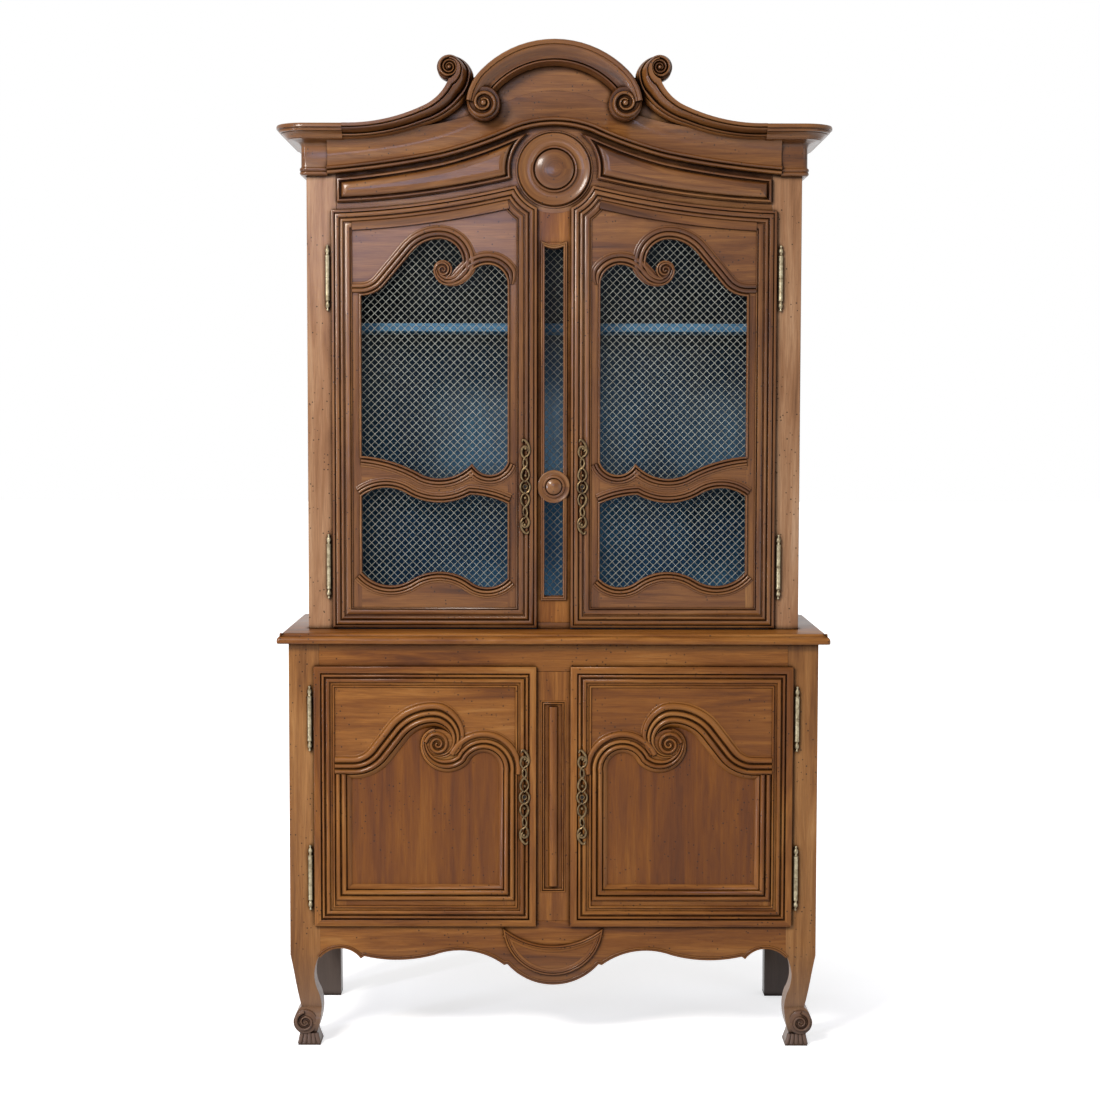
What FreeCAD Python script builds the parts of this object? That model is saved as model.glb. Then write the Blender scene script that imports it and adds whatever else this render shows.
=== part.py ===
import FreeCAD, Part
import math
import os

from FreeCAD import Vector

# Two-part cupboard: a lower stage with two panelled doors on cabriole legs, and a set-back
# upper stage with two grille doors under a scrolled cornice. Millimetres, +Z up, front
# towards -Y, origin on the floor under the middle of the cupboard.

# Cases
overall_height = 2400.0
lower_width = 1266.0
upper_width = 1189.0
lower_depth = 470.0
upper_setback = 92.0
counter_height = 995.0
counter_thickness = 25.0
counter_overhang = 26.0
counter_nose_height = 18.0
counter_nose_radius = 8.0
counter_fillet_inset = 7.0
counter_joint_setback = 16.0

# Posts, rails and boards
post_width = 72.0
upper_post_depth = 60.0
back_post_width = 66.0
back_post_depth = 50.0
back_leg_width = 81.0
frame_thickness = 26.0
side_thickness = 24.0
side_inset = 3.0
panel_thickness = 12.0
groove_depth = 9.0
tenon_length = 32.0
tenon_thickness = 10.0
tenon_shoulder = 8.0
door_tenon_thickness = 8.0
door_tenon_cover = 2.0
board_thickness = 20.0
back_board_thickness = 15.0
back_board_inset = 12.0
back_board_count = 5
leg_height = 215.0
ankle_height = 88.0
foot_scroll_height = 53.0
foot_height = 25.0
foot_reach = 23.0
top_rail_height = 68.0
apron_top = 298.0
apron_crest_rise = 15.0
apron_drop = 73.0
notch_reach = 106.0
drop_half = 110.0
crescent_half = 120.0
crescent_below_top = 17.0
crescent_hollow = 43.0
crescent_depth = 115.0
side_rail_height = 90.0
lower_side_rail_bottom = 225.0
lower_shelf_top = 610.0
shelf_below_rail = 6.0
upper_shelf_share = 0.5175
shelf_setback = 78.0
cleat_height = 22.0
cleat_width = 18.0
ceiling_gap = 34.0

# Centre stiles
stile_width = 106.0
stile_thickness = 36.0
slot_width = 45.0
slot_low_margin = 64.0
slot_high_margin = 181.0
slot_dip_depth = 7.0
slot_bead = 7.0
bead_height = 3.0
small_roundel_radius = 39.5
small_button_radius = 18.0
small_roundel_rise = 8.0
sunk_panel_width = 52.0
sunk_panel_margin = 74.0
sunk_panel_depth = 4.0

# Doors: a lip lies on the case front, the body stands inside the opening
lip_overlap = 12.0
lip_thickness = 10.0
leaf_depth = 15.0
door_clearance = 2.5
counter_clearance = 3.0
crest_below_roundel = 39.0
door_arch_rise = 59.0
upper_door_top_radius = 2200.0
lip_band = 16.0
lip_groove = 4.0
border_step = 33.0
border_width = 48.0
groove_cut = 3.0
step_cut = 2.5
field_cut = 5.0
band_height = 4.0
reed_height = 3.0
reed_width = 18.0
rail_tenon_half = 30.0
rail_tenon_margin = 10.0
upper_stile_face = 70.0
lower_stile_face = 77.0
lower_bottom_rail_face = 88.0
middle_rail_share = 0.3582
upper_scroll_drop = 203.0
upper_scroll_width = 28.0
lower_scroll_drop = 259.0
lower_scroll_width = 50.0
grille_thickness = 1.5
grille_margin = 8.0
grille_wire = 4.0
grille_cell_width = 118.0
grille_cell_height = 148.0

# Hinges, locks and escutcheons
hinge_gap = 10.0
hinge_forward = 5.5
barrel_radius = 5.2
pin_radius = 3.0
pin_clearance = 0.05
pin_length = 44.0
knuckle_length = 54.0
knuckle_gap = 0.3
finial_length = 25.0
barrel_flats = 12
hinge_leaf_thickness = 2.0
hinge_leaf_reach = 26.0
hinge_leaf_margin = 6.0
upper_hinge_low = 149.0
upper_hinge_high = 161.0
lower_hinge_low = 118.0
lower_hinge_high = 125.0
lock_width = 42.0
lock_thickness = 16.0
lock_height = 92.0
bolt_length = 37.0
bolt_thickness = 8.0
bolt_height = 18.0
bolt_travel = 12.0
bolt_slack = 0.4
mortise_slack = 1.0
lock_below_rail = 17.0
lower_lock_height = 601.0
escutcheon_length = 230.0
escutcheon_width = 30.0
escutcheon_thickness = 2.5
escutcheon_inset = 28.0
keyhole_width = 8.0
keyhole_drop = 13.0

# Frieze and cornice
roundel_above_cornice = 16.0
boss_radius = 104.0
lip_corner_radius = 100.5
button_radius = 46.0
roundel_band_radius = 86.0
roundel_rise = 12.0
frieze_panel_gap = 19.0
frieze_panel_end = 2.0
frieze_panel_drop = 12.0
frieze_panel_hollow = 106.0
frieze_panel_rise = 6.0
frieze_margin = 60.0
bed_crest = 120.0
bed_height = 21.0
bed_rise = 11.0
fascia_rise = 12.0
pediment_rise = 197.0
pediment_valley_half = 208.0
valley_drop = 5.0
cornice_height = 118.0
crown_height = 39.0
cornice_projection = 70.5
crown_step_share = 0.6
corner_block_face = 52.0
horn_face = 91.0
arch_width = 46.0
crown_volute_radius = 31.0
arch_volute_radius = 41.0

# Main planes
back_y = (lower_depth + counter_overhang) / 2
lower_front = back_y - lower_depth
upper_front = lower_front + upper_setback
lower_half = lower_width / 2
upper_half = upper_width / 2
counter_underside = counter_height - counter_thickness
cornice_top = overall_height - pediment_rise
cornice_bottom = cornice_top - cornice_height
cornice_crown_bottom = cornice_top - crown_height
post_top = cornice_top - cornice_height / 15
roundel_height = cornice_bottom + roundel_above_cornice
upper_door_crest = roundel_height - crest_below_roundel
upper_door_side_top = upper_door_crest - door_arch_rise
upper_lip_bottom = counter_height + counter_clearance
upper_door_height = upper_door_side_top - upper_lip_bottom
middle_rail_height = upper_lip_bottom + middle_rail_share * upper_door_height
upper_lock_height = middle_rail_height - lock_below_rail
upper_scroll_low = upper_door_side_top - upper_scroll_drop
lower_opening_top = counter_underside - top_rail_height
apron_crest = leg_height + apron_crest_rise
apron_bottom = leg_height - apron_drop
upper_opening_bottom = upper_lip_bottom + lip_overlap
slot_bottom = upper_opening_bottom + slot_low_margin
slot_top = roundel_height - slot_high_margin


def point(x, z):
    return Vector(x, 0, z)


def box(x0, x1, y0, y1, z0, z1):
    corner = Vector(min(x0, x1), min(y0, y1), min(z0, z1))
    return Part.makeBox(abs(x1 - x0), abs(y1 - y0), abs(z1 - z0), corner)


def line(a, b):
    return Part.makeLine(a, b)


def arc(a, b, c):
    return Part.Arc(a, b, c).toShape()


def waves(points):
    """Arcs end to end, one through each three points."""
    edges = []
    for index in range(0, len(points) - 2, 2):
        edges.append(arc(points[index], points[index + 1], points[index + 2]))
    return edges


def face(edges):
    return Part.Face(Part.Wire(Part.__sortEdges__(edges)))


def prism(flat, y0, y1):
    """A flat shape drawn in the XZ plane, extruded from y0 back to y1."""
    moved = flat.copy()
    moved.translate(Vector(0, y0, 0))
    return moved.extrude(Vector(0, y1 - y0, 0))


def disc(x, z, radius, y0, y1):
    return Part.makeCylinder(radius, y1 - y0, Vector(x, y0, z), Vector(0, 1, 0))


def mirrored(shape):
    return shape.mirror(Vector(0, 0, 0), Vector(1, 0, 0))


def both_sides(shape):
    return [shape, mirrored(shape)]


def cut_all(shape, tools):
    for tool in tools:
        shape = shape.cut(tool)
    return shape


def arc_chain(start, heading, moves, offset=0.0):
    """Straight runs (length, 0) and tangent arcs (radius, turn) in the XZ plane.

    A positive turn goes left. The whole chain is shifted to its left by offset.
    Returns the edges and the shifted end point.
    """
    angle = math.radians(heading)
    x = start.x
    z = start.z
    edges = []
    last = None
    for size, turn in moves:
        if turn == 0:
            first = point(x - offset * math.sin(angle), z + offset * math.cos(angle))
            x += size * math.cos(angle)
            z += size * math.sin(angle)
            last = point(x - offset * math.sin(angle), z + offset * math.cos(angle))
            edges.append(line(first, last))
        else:
            signed = math.copysign(size, turn)
            centre_x = x - signed * math.sin(angle)
            centre_z = z + signed * math.cos(angle)
            spots = []
            for share in (0.0, 0.5, 1.0):
                here = angle + math.radians(turn) * share
                reach = offset - signed
                spots.append(point(centre_x - reach * math.sin(here), centre_z + reach * math.cos(here)))
            angle += math.radians(turn)
            x = centre_x + signed * math.sin(angle)
            z = centre_z - signed * math.cos(angle)
            last = spots[2]
            edges.append(arc(spots[0], spots[1], spots[2]))
    return edges, last


def chain_band(start, heading, moves, near, far):
    """The flat band between two offsets of one chain."""
    near_edges, near_end = arc_chain(start, heading, moves, near)
    far_edges, far_end = arc_chain(start, heading, moves, far)
    near_start = near_edges[0].valueAt(near_edges[0].FirstParameter)
    far_start = far_edges[0].valueAt(far_edges[0].FirstParameter)
    return face(near_edges + [line(near_end, far_end)] + far_edges + [line(far_start, near_start)])


def single(shape):
    """The one solid of a cut or fused shape, with its split faces joined."""
    return shape.removeSplitter().Solids[0]


# Lower stage, left half mirrored to the right

lower_post_inner = lower_half - post_width


def leg_outline(knee, scroll, pad, calf):
    """Sawn outline of a cabriole leg: x is the distance from the post's face.

    The knee gives three places down to the ankle, the scroll its foremost place and its end,
    the pad its toe, its sole and its heel, and the calf three places up to the knee.
    """
    scroll_end = point(scroll[1], foot_height + 3)
    front = waves([
        point(0, leg_height),
        point(knee[0], 0.88 * leg_height),
        point(knee[1], 0.78 * leg_height),
        point(knee[2], 0.6 * leg_height),
        point(knee[3], ankle_height),
        point(scroll[0], foot_scroll_height),
        scroll_end,
    ])
    corners = [
        scroll_end,
        point(pad[0], foot_height),
        point(pad[1], 0),
        point(pad[2], 0),
        point(pad[3], foot_height),
        point(calf[0], foot_height + 5),
    ]
    foot = [line(a, b) for a, b in zip(corners, corners[1:])]
    back = waves([
        corners[-1],
        point(calf[1], 0.38 * leg_height),
        point(calf[2], 0.56 * leg_height),
        point(calf[3], 0.77 * leg_height),
        point(post_width, leg_height),
    ])
    return face(front + foot + back + [line(point(post_width, leg_height), point(0, leg_height))])


front_view = leg_outline((5, 9, 16, 26), (10, 22), (26, 20, 74, 66), (65, 75, 68, 57))
side_view = leg_outline(
    (2, 3, 4, 1),
    (3 - foot_reach, 11 - foot_reach),
    (8 - foot_reach, -foot_reach, 52, 46),
    (46, 62, 61, 57),
)
leg_front = prism(front_view, 0, 2 * post_width)
leg_front.translate(Vector(-lower_half, lower_front - post_width / 2, 0))
leg_side = prism(side_view, 0, 2 * post_width)
leg_side.rotate(Vector(0, 0, 0), Vector(0, 0, 1), 90)
leg_side.translate(Vector(-lower_half + 1.5 * post_width, lower_front, 0))
leg = leg_front.common(leg_side)
lower_post = box(
    -lower_half, -lower_post_inner, lower_front, lower_front + post_width, leg_height, counter_underside
)
lower_post = lower_post.fuse(leg)
lower_back_post = box(
    -lower_half, -lower_half + back_post_width, back_y - back_post_depth, back_y, 0, counter_underside
)
lower_back_post = lower_back_post.fuse(box(
    -lower_half, -lower_half + back_leg_width, back_y - back_post_depth, back_y, 0, leg_height
))


def tenoned_rail(inner, front, z0, z1):
    """A front rail between two posts, with a tenon at each end."""
    middle = front + (frame_thickness - tenon_thickness) / 2
    rail = box(-inner, inner, front, front + frame_thickness, z0, z1)
    reach = inner + tenon_length
    tenon = box(-reach, reach, middle, middle + tenon_thickness, z0 + tenon_shoulder, z1 - tenon_shoulder)
    return rail.fuse(tenon)


lower_top_rail = tenoned_rail(lower_post_inner, lower_front, lower_opening_top, counter_underside)


def apron_face():
    """Scalloped lower edge, drawn for the left half and mirrored."""
    reach = lower_post_inner
    end = point(-reach, leg_height - 8)
    crest = point(-reach + 0.4 * notch_reach, apron_crest)
    notch = point(-reach + 0.92 * notch_reach, leg_height - 10)
    step = point(-reach + notch_reach, leg_height - 4)
    drop_start = point(-drop_half - 8, leg_height - 25)
    drop_step = point(-drop_half, leg_height - 23)
    bottom = point(0, apron_bottom)
    wave_points = [
        step,
        point((step.x * 3 + drop_start.x) / 4, leg_height - 13),
        point((step.x + drop_start.x) / 2, leg_height - 1),
        point((step.x + drop_start.x * 3) / 4, leg_height + 9),
        drop_start,
    ]
    half = [arc(end, crest, notch), line(notch, step)] + waves(wave_points) + [line(drop_start, drop_step)]
    other = [mirrored(edge) for edge in half]
    drop = arc(drop_step, bottom, point(-drop_step.x, drop_step.z))
    low = apron_crest + 10
    sides = [line(end, point(-reach, low)), line(point(-reach, low), point(reach, low))]
    sides.append(line(point(reach, low), point(reach, end.z)))
    return face(half + [drop] + other + sides)


lower_apron = prism(apron_face(), lower_front, lower_front + frame_thickness)
lower_apron = lower_apron.fuse(tenoned_rail(lower_post_inner, lower_front, apron_crest, apron_top))
crescent_top = apron_top - crescent_below_top
crescent_inner = crescent_top - crescent_hollow
crescent_outer = crescent_top - crescent_depth
crescent_tips = (point(-crescent_half, crescent_top), point(crescent_half, crescent_top))
crescent = face([
    arc(crescent_tips[0], point(0, crescent_outer), crescent_tips[1]),
    arc(crescent_tips[0], point(0, crescent_inner), crescent_tips[1]),
])
lower_apron = lower_apron.fuse(prism(crescent, lower_front - bead_height, lower_front))

half_stile = stile_width / 2
lower_stile = box(
    -half_stile, half_stile, lower_front, lower_front + stile_thickness, apron_top, lower_opening_top
)
sunk_panel = box(
    -sunk_panel_width / 2,
    sunk_panel_width / 2,
    lower_front,
    lower_front + sunk_panel_depth,
    apron_top + sunk_panel_margin,
    lower_opening_top - sunk_panel_margin,
)
lower_stile = lower_stile.cut(sunk_panel)


def side_frame(half, front, post_depth, z0, z1, low_rail, high_rail):
    """Rails and panel of the left side, let into the posts by one groove depth."""
    outer = -half + side_inset
    y0 = front + post_depth
    y1 = back_y - back_post_depth
    low = box(outer, outer + side_thickness, y0, y1, z0, z0 + low_rail)
    high = box(outer, outer + side_thickness, y0, y1, z1 - high_rail, z1)
    panel_x = outer + (side_thickness - panel_thickness) / 2
    panel = box(
        panel_x,
        panel_x + panel_thickness,
        y0 - groove_depth,
        y1 + groove_depth,
        z0 + low_rail - groove_depth,
        z1 - high_rail + groove_depth,
    )
    return low.cut(panel), high.cut(panel), panel


lower_low_side, lower_high_side, lower_side_panel = side_frame(
    lower_half,
    lower_front,
    post_width,
    lower_side_rail_bottom,
    counter_underside,
    side_rail_height,
    side_rail_height,
)


def back_boards(half, z0, z1):
    """Upright boards side by side, held in grooves of the back posts."""
    left = -half + back_post_width - groove_depth
    width = -2 * left / back_board_count
    boards = []
    for index in range(back_board_count):
        x0 = left + index * width
        boards.append(box(x0, x0 + width, back_inner, back_inner + back_board_thickness, z0, z1))
    return boards


back_inner = back_y - back_board_inset - back_board_thickness
side_inner_lower = lower_half - side_inset - side_thickness
lower_floor_under = apron_top - board_thickness
lower_boards = back_boards(lower_half, lower_floor_under, counter_underside)
lower_posts_all = both_sides(lower_post) + both_sides(lower_back_post)
lower_floor = cut_all(
    box(
        -side_inner_lower,
        side_inner_lower,
        lower_front + frame_thickness,
        back_inner,
        lower_floor_under,
        apron_top,
    ),
    lower_posts_all,
)


def shelf(half, front, top):
    """A shelf between the side panels, notched round the back posts."""
    reach = half - side_inset - (side_thickness + panel_thickness) / 2
    board = box(-reach, reach, front + shelf_setback, back_inner, top - board_thickness, top)
    notch = box(-half, -half + back_post_width, back_y - back_post_depth, back_y, 0, overall_height)
    return cut_all(board, both_sides(notch))


def cleats(half, front, top):
    """A strip under each end of a shelf, on the side panel."""
    outer = half - side_inset - (side_thickness + panel_thickness) / 2
    under = top - board_thickness
    strip = box(
        -outer,
        -outer + cleat_width,
        front + shelf_setback,
        back_y - back_post_depth,
        under - cleat_height,
        under,
    )
    return both_sides(strip)


lower_shelf = shelf(lower_half, lower_front, lower_shelf_top)
shelf_cleats = cleats(lower_half, lower_front, lower_shelf_top)

counter_half = lower_half + counter_overhang
counter_front = lower_front - counter_overhang
nose_top = counter_underside + counter_nose_height
counter_slab = box(-counter_half, counter_half, counter_front, back_y, counter_underside, nose_top)
nose_edges = []
for edge in counter_slab.Edges:
    middle = edge.CenterOfMass
    level = abs(edge.BoundBox.ZLength) < 0.001
    if level and middle.y < back_y - 1:
        nose_edges.append(edge)
counter_slab = counter_slab.makeFillet(min(counter_nose_radius, counter_nose_height / 2 - 0.5), nose_edges)
fillet_inset = counter_nose_radius + counter_fillet_inset
counter_slab = counter_slab.fuse(box(
    -counter_half + fillet_inset,
    counter_half - fillet_inset,
    counter_front + fillet_inset,
    back_y,
    nose_top,
    counter_height,
))
counter_joint = upper_front - counter_joint_setback
counter_boards = []
for y0, y1 in ((counter_front, counter_joint), (counter_joint, back_y)):
    window = box(-counter_half, counter_half, y0, y1, counter_underside, counter_height)
    counter_boards.append(single(counter_slab.common(window)))

# Upper stage

upper_post_inner = upper_half - post_width
upper_post = box(
    -upper_half, -upper_post_inner, upper_front, upper_front + upper_post_depth, counter_height, post_top
)
upper_back_post = box(
    -upper_half, -upper_half + back_post_width, back_y - back_post_depth, back_y, counter_height, post_top
)
upper_side_top_rail = post_top - cornice_bottom + side_rail_height
upper_low_side, upper_high_side, upper_side_panel = side_frame(
    upper_half,
    upper_front,
    upper_post_depth,
    counter_height,
    post_top,
    side_rail_height,
    upper_side_top_rail,
)
upper_boards = back_boards(upper_half, counter_height, post_top)
upper_posts_all = both_sides(upper_post) + both_sides(upper_back_post)
side_inner_upper = upper_half - side_inset - side_thickness
upper_floor = cut_all(
    box(
        -side_inner_upper,
        side_inner_upper,
        upper_front,
        back_inner,
        counter_height,
        upper_opening_bottom,
    ),
    upper_posts_all,
)
ceiling_under = upper_door_crest + ceiling_gap
upper_ceiling = cut_all(
    box(
        -side_inner_upper,
        side_inner_upper,
        upper_front + frame_thickness,
        back_inner,
        ceiling_under,
        ceiling_under + board_thickness,
    ),
    upper_posts_all,
)
upper_shelves = []
low_shelf_top = middle_rail_height - shelf_below_rail
high_shelf_top = low_shelf_top + upper_shelf_share * (ceiling_under - low_shelf_top)
for top in (low_shelf_top, high_shelf_top):
    upper_shelves.append(shelf(upper_half, upper_front, top))
    shelf_cleats += cleats(upper_half, upper_front, top)

# Door outlines: one lip line each, and any inset of it

upper_lip_hinge = -upper_post_inner - lip_overlap
lock_lip = -half_stile + lip_overlap
lower_lip_hinge = -lower_post_inner - lip_overlap
lower_lip_bottom = apron_top - lip_overlap
lower_lip_top = lower_opening_top + lip_overlap


def lower_outline(inset):
    x0 = lower_lip_hinge + inset
    x1 = lock_lip - inset
    corners = [
        point(x0, lower_lip_bottom + inset),
        point(x1, lower_lip_bottom + inset),
        point(x1, lower_lip_top - inset),
        point(x0, lower_lip_top - inset),
    ]
    return Part.Face(Part.makePolygon(corners + [corners[0]]))


def top_circle():
    """Centre of the arc from the hinge side of the lip up to its crest."""
    crest_x = -math.sqrt(lip_corner_radius ** 2 - (roundel_height - upper_door_crest) ** 2)
    run = crest_x - upper_lip_hinge
    rise = upper_door_crest - upper_door_side_top
    chord = math.hypot(run, rise)
    sag = math.sqrt(upper_door_top_radius ** 2 - chord ** 2 / 4)
    x = (crest_x + upper_lip_hinge) / 2 - sag * rise / chord
    z = (upper_door_crest + upper_door_side_top) / 2 + sag * run / chord
    return x, z


def upper_outline(inset):
    """Arched lip line with a hollow inner corner that clears the roundel's boss."""
    x0 = upper_lip_hinge + inset
    x1 = lock_lip - inset
    z0 = upper_lip_bottom + inset
    centre_x, centre_z = top_circle()
    radius = upper_door_top_radius + inset
    hollow = lip_corner_radius + inset
    left_top = point(x0, centre_z - math.sqrt(radius ** 2 - (x0 - centre_x) ** 2))
    apart = math.hypot(centre_x, centre_z - roundel_height)
    along = (apart ** 2 + hollow ** 2 - radius ** 2) / (2 * apart)
    across = math.sqrt(hollow ** 2 - along ** 2)
    unit_x = centre_x / apart
    unit_z = (centre_z - roundel_height) / apart
    crest = point(along * unit_x - across * unit_z, roundel_height + along * unit_z + across * unit_x)
    right_top = point(x1, roundel_height - math.sqrt(hollow ** 2 - x1 ** 2))
    mid_x = (x0 + crest.x) / 2
    mid_top = point(mid_x, centre_z - math.sqrt(radius ** 2 - (mid_x - centre_x) ** 2))
    turn = (math.atan2(crest.z - roundel_height, crest.x) % (2 * math.pi)
            + math.atan2(right_top.z - roundel_height, right_top.x) % (2 * math.pi)) / 2
    mid_hollow = point(hollow * math.cos(turn), roundel_height + hollow * math.sin(turn))
    return face([
        line(point(x0, z0), point(x1, z0)),
        line(point(x1, z0), right_top),
        arc(right_top, mid_hollow, crest),
        arc(crest, mid_top, left_top),
        line(left_top, point(x0, z0)),
    ])


# Frieze, centre stile and grille of the upper stage

opening = prism(upper_outline(lip_overlap), upper_front - post_width, upper_front + post_width)
openings = both_sides(opening)
bed_end = upper_half + 1
bed_shares = [(1.0, 0.0), (0.705, 0.14), (0.453, 0.35), (0.319, 0.54), (0.151, 0.867)]
bed_half = [point(-bed_end * x, cornice_bottom + bed_crest * z) for x, z in bed_shares]
bed_points = bed_half + [point(0, cornice_bottom + bed_crest)]
bed_points += [point(-spot.x, spot.z) for spot in reversed(bed_half)]
bed_line = waves(bed_points)


def above_bed(reach, y0, y1):
    """Everything between the bed line and the very top, out to reach on each side."""
    ends = (bed_points[0], bed_points[-1])
    roof = overall_height + bed_crest
    region = face(bed_line + [
        line(ends[0], point(ends[0].x, roof)),
        line(point(ends[0].x, roof), point(ends[1].x, roof)),
        line(point(ends[1].x, roof), ends[1]),
    ])
    return prism(region, y0, y1).common(box(-reach, reach, y0, y1, 0, roof))


boss_floor = roundel_height - math.sqrt(boss_radius ** 2 - half_stile ** 2)
boss = disc(0, roundel_height, boss_radius, upper_front, upper_front + stile_thickness)
stile_blank = box(
    -half_stile, half_stile, upper_front, upper_front + stile_thickness, upper_opening_bottom, roundel_height
)
upper_stile = single(stile_blank.cut(boss).common(box(
    -half_stile, half_stile, upper_front, upper_front + stile_thickness, 0, boss_floor + 1
)))
frieze_back = upper_front + frame_thickness
frieze_low = upper_door_side_top - frieze_margin
frieze = box(-upper_post_inner, upper_post_inner, upper_front, frieze_back, frieze_low, overall_height)
frieze = cut_all(frieze, openings + [upper_stile])
frieze = single(frieze.cut(above_bed(upper_post_inner, upper_front, frieze_back)))


def frieze_panel():
    """Serpentine raised panel left of the roundel, parallel to the door lip and the bed."""
    y0 = upper_front - frieze_panel_rise
    left = -upper_post_inner + frieze_panel_end
    region = box(left, 0, y0, upper_front, frieze_low, overall_height)
    region = region.cut(prism(upper_outline(-frieze_panel_gap), y0, upper_front))
    bed = above_bed(upper_half, y0, upper_front)
    bed.translate(Vector(0, 0, -frieze_panel_drop))
    region = region.cut(bed)
    region = region.cut(disc(0, roundel_height, frieze_panel_hollow, y0 - 1, upper_front + 1))
    return max(region.Solids, key=lambda solid: solid.Volume)


def roundel(z, button, band, rise):
    """A turned button on a flat band."""
    low = upper_front - rise / 2
    return disc(0, z, band, low, upper_front).fuse(disc(0, z, button, upper_front - rise, low))


for side_panel in both_sides(frieze_panel()):
    frieze = frieze.fuse(side_panel)
frieze = single(frieze.fuse(roundel(roundel_height, button_radius, roundel_band_radius, roundel_rise)))

half_slot = slot_width / 2
small_height = upper_lock_height
slot = box(-half_slot, half_slot, upper_front - post_width, upper_front + post_width, slot_bottom, slot_top)
small_disc = disc(0, small_height, small_roundel_radius, upper_front - post_width, upper_front + post_width)
dip_radius = 1.25 * slot_width
dip_height = slot_top + dip_radius - slot_dip_depth
slot_dip = disc(0, dip_height, dip_radius, upper_front - post_width, upper_front + post_width)
slot = slot.cut(small_disc).cut(slot_dip)
slot_frame = box(
    -half_slot - slot_bead,
    half_slot + slot_bead,
    upper_front - bead_height,
    upper_front,
    slot_bottom - slot_bead,
    slot_top + slot_bead,
)
upper_stile = upper_stile.fuse(slot_frame)
upper_stile = upper_stile.fuse(roundel(
    small_height, small_button_radius, small_roundel_radius, small_roundel_rise
))
upper_stile = upper_stile.cut(slot)


def grille(x0, x1, z0, z1, y):
    """A flat wire grille: one sheet with rows of diamond gaps inside a plain border."""
    holes = []
    half_cell = min(grille_cell_width, x1 - x0 - 2 * grille_margin) / 2
    half_row = grille_cell_height / 2
    inner_x = half_cell - grille_wire
    inner_z = half_row * inner_x / half_cell
    rows = int((z1 - z0 - 2 * grille_margin) / half_row) - 1
    columns = int((x1 - x0 - 2 * grille_margin) / half_cell) - 1
    start_x = (x0 + x1) / 2 - (columns - 1) * half_cell / 2
    start_z = (z0 + z1) / 2 - (rows - 1) * half_row / 2
    for row in range(rows):
        for column in range(columns):
            if (row + column) % 2 == 0:
                x = start_x + column * half_cell
                z = start_z + row * half_row
                corners = [
                    point(x - inner_x, z),
                    point(x, z + inner_z),
                    point(x + inner_x, z),
                    point(x, z - inner_z),
                ]
                holes.append(Part.makePolygon(corners + [corners[0]]))
    corners = [point(x0, z0), point(x1, z0), point(x1, z1), point(x0, z1)]
    sheet = Part.Face([Part.makePolygon(corners + [corners[0]])] + holes)
    return prism(sheet, y, y + grille_thickness)


centre_grille = grille(
    -half_slot - grille_margin,
    half_slot + grille_margin,
    slot_bottom - grille_margin,
    slot_top + grille_margin,
    upper_front + stile_thickness,
)

# Cornice

fascia_front = upper_front - fascia_rise
bed_reach = upper_half - corner_block_face


above_moulding = above_bed(bed_reach, fascia_front - bed_rise, fascia_front)
over_moulding = above_moulding.copy()
over_moulding.translate(Vector(0, 0, bed_height))
bed_moulding = single(above_moulding.cut(over_moulding))

swan_left = -upper_half + horn_face
swan_unit = (-swan_left - pediment_valley_half) / 296.0


def swan_line(spots):
    """Points of the swan neck, measured from the end of the level crown."""
    return [point(swan_left + x * swan_unit, cornice_crown_bottom + z * swan_unit) for x, z in spots]


swan_low = swan_line([
    (0, 5), (125, 17), (193, 37), (250, 61), (288, 92), (306, 123), (311, 159), (297, 183), (256, 202)
])
swan_middle = swan_line([(0, 22), (125, 36), (193, 58), (244, 88), (280, 130), (286, 165), (256, 202)])
swan_high = swan_line([(0, 39), (125, 54), (193, 79), (238, 114), (254, 142)])
swan_eye = swan_line([(255, 171)])[0]
arch_start = point(0, overall_height)
arch_moves = [(1.178 * pediment_valley_half, 45), (0.601 * pediment_valley_half, 37)]
arch_heading = 180.0


def crown_band(start, heading, moves, near, far, rise):
    return prism(chain_band(start, heading, moves, near, far), fascia_front - rise, fascia_front)


crown_rise = cornice_projection - fascia_rise
step_rise = crown_rise * crown_step_share


def swan_layer(low, rise):
    """One step of the swan neck, from a lower line up to its top edge."""
    ends = [line(low[-1], swan_high[-1]), line(swan_high[0], low[0])]
    return prism(face(waves(low) + waves(swan_high) + ends), fascia_front - rise, fascia_front)


swan_neck = swan_layer(swan_low, step_rise).fuse(swan_layer(swan_middle, crown_rise))
crown_front = fascia_front - crown_rise
swan_end_disc = disc(swan_eye.x, swan_eye.z, crown_volute_radius, crown_front, fascia_front)
swan_neck = single(swan_neck.fuse(swan_end_disc))

arch = crown_band(arch_start, arch_heading, arch_moves, 0, arch_width, step_rise)
arch = arch.fuse(crown_band(arch_start, arch_heading, arch_moves, 0, arch_width / 2, crown_rise))
arch_eye = arc_chain(arch_start, arch_heading, arch_moves, arch_volute_radius)[1]
arch = arch.fuse(disc(arch_eye.x, arch_eye.z, arch_volute_radius, crown_front, fascia_front))
arch = single(arch.fuse(mirrored(arch)))

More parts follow.
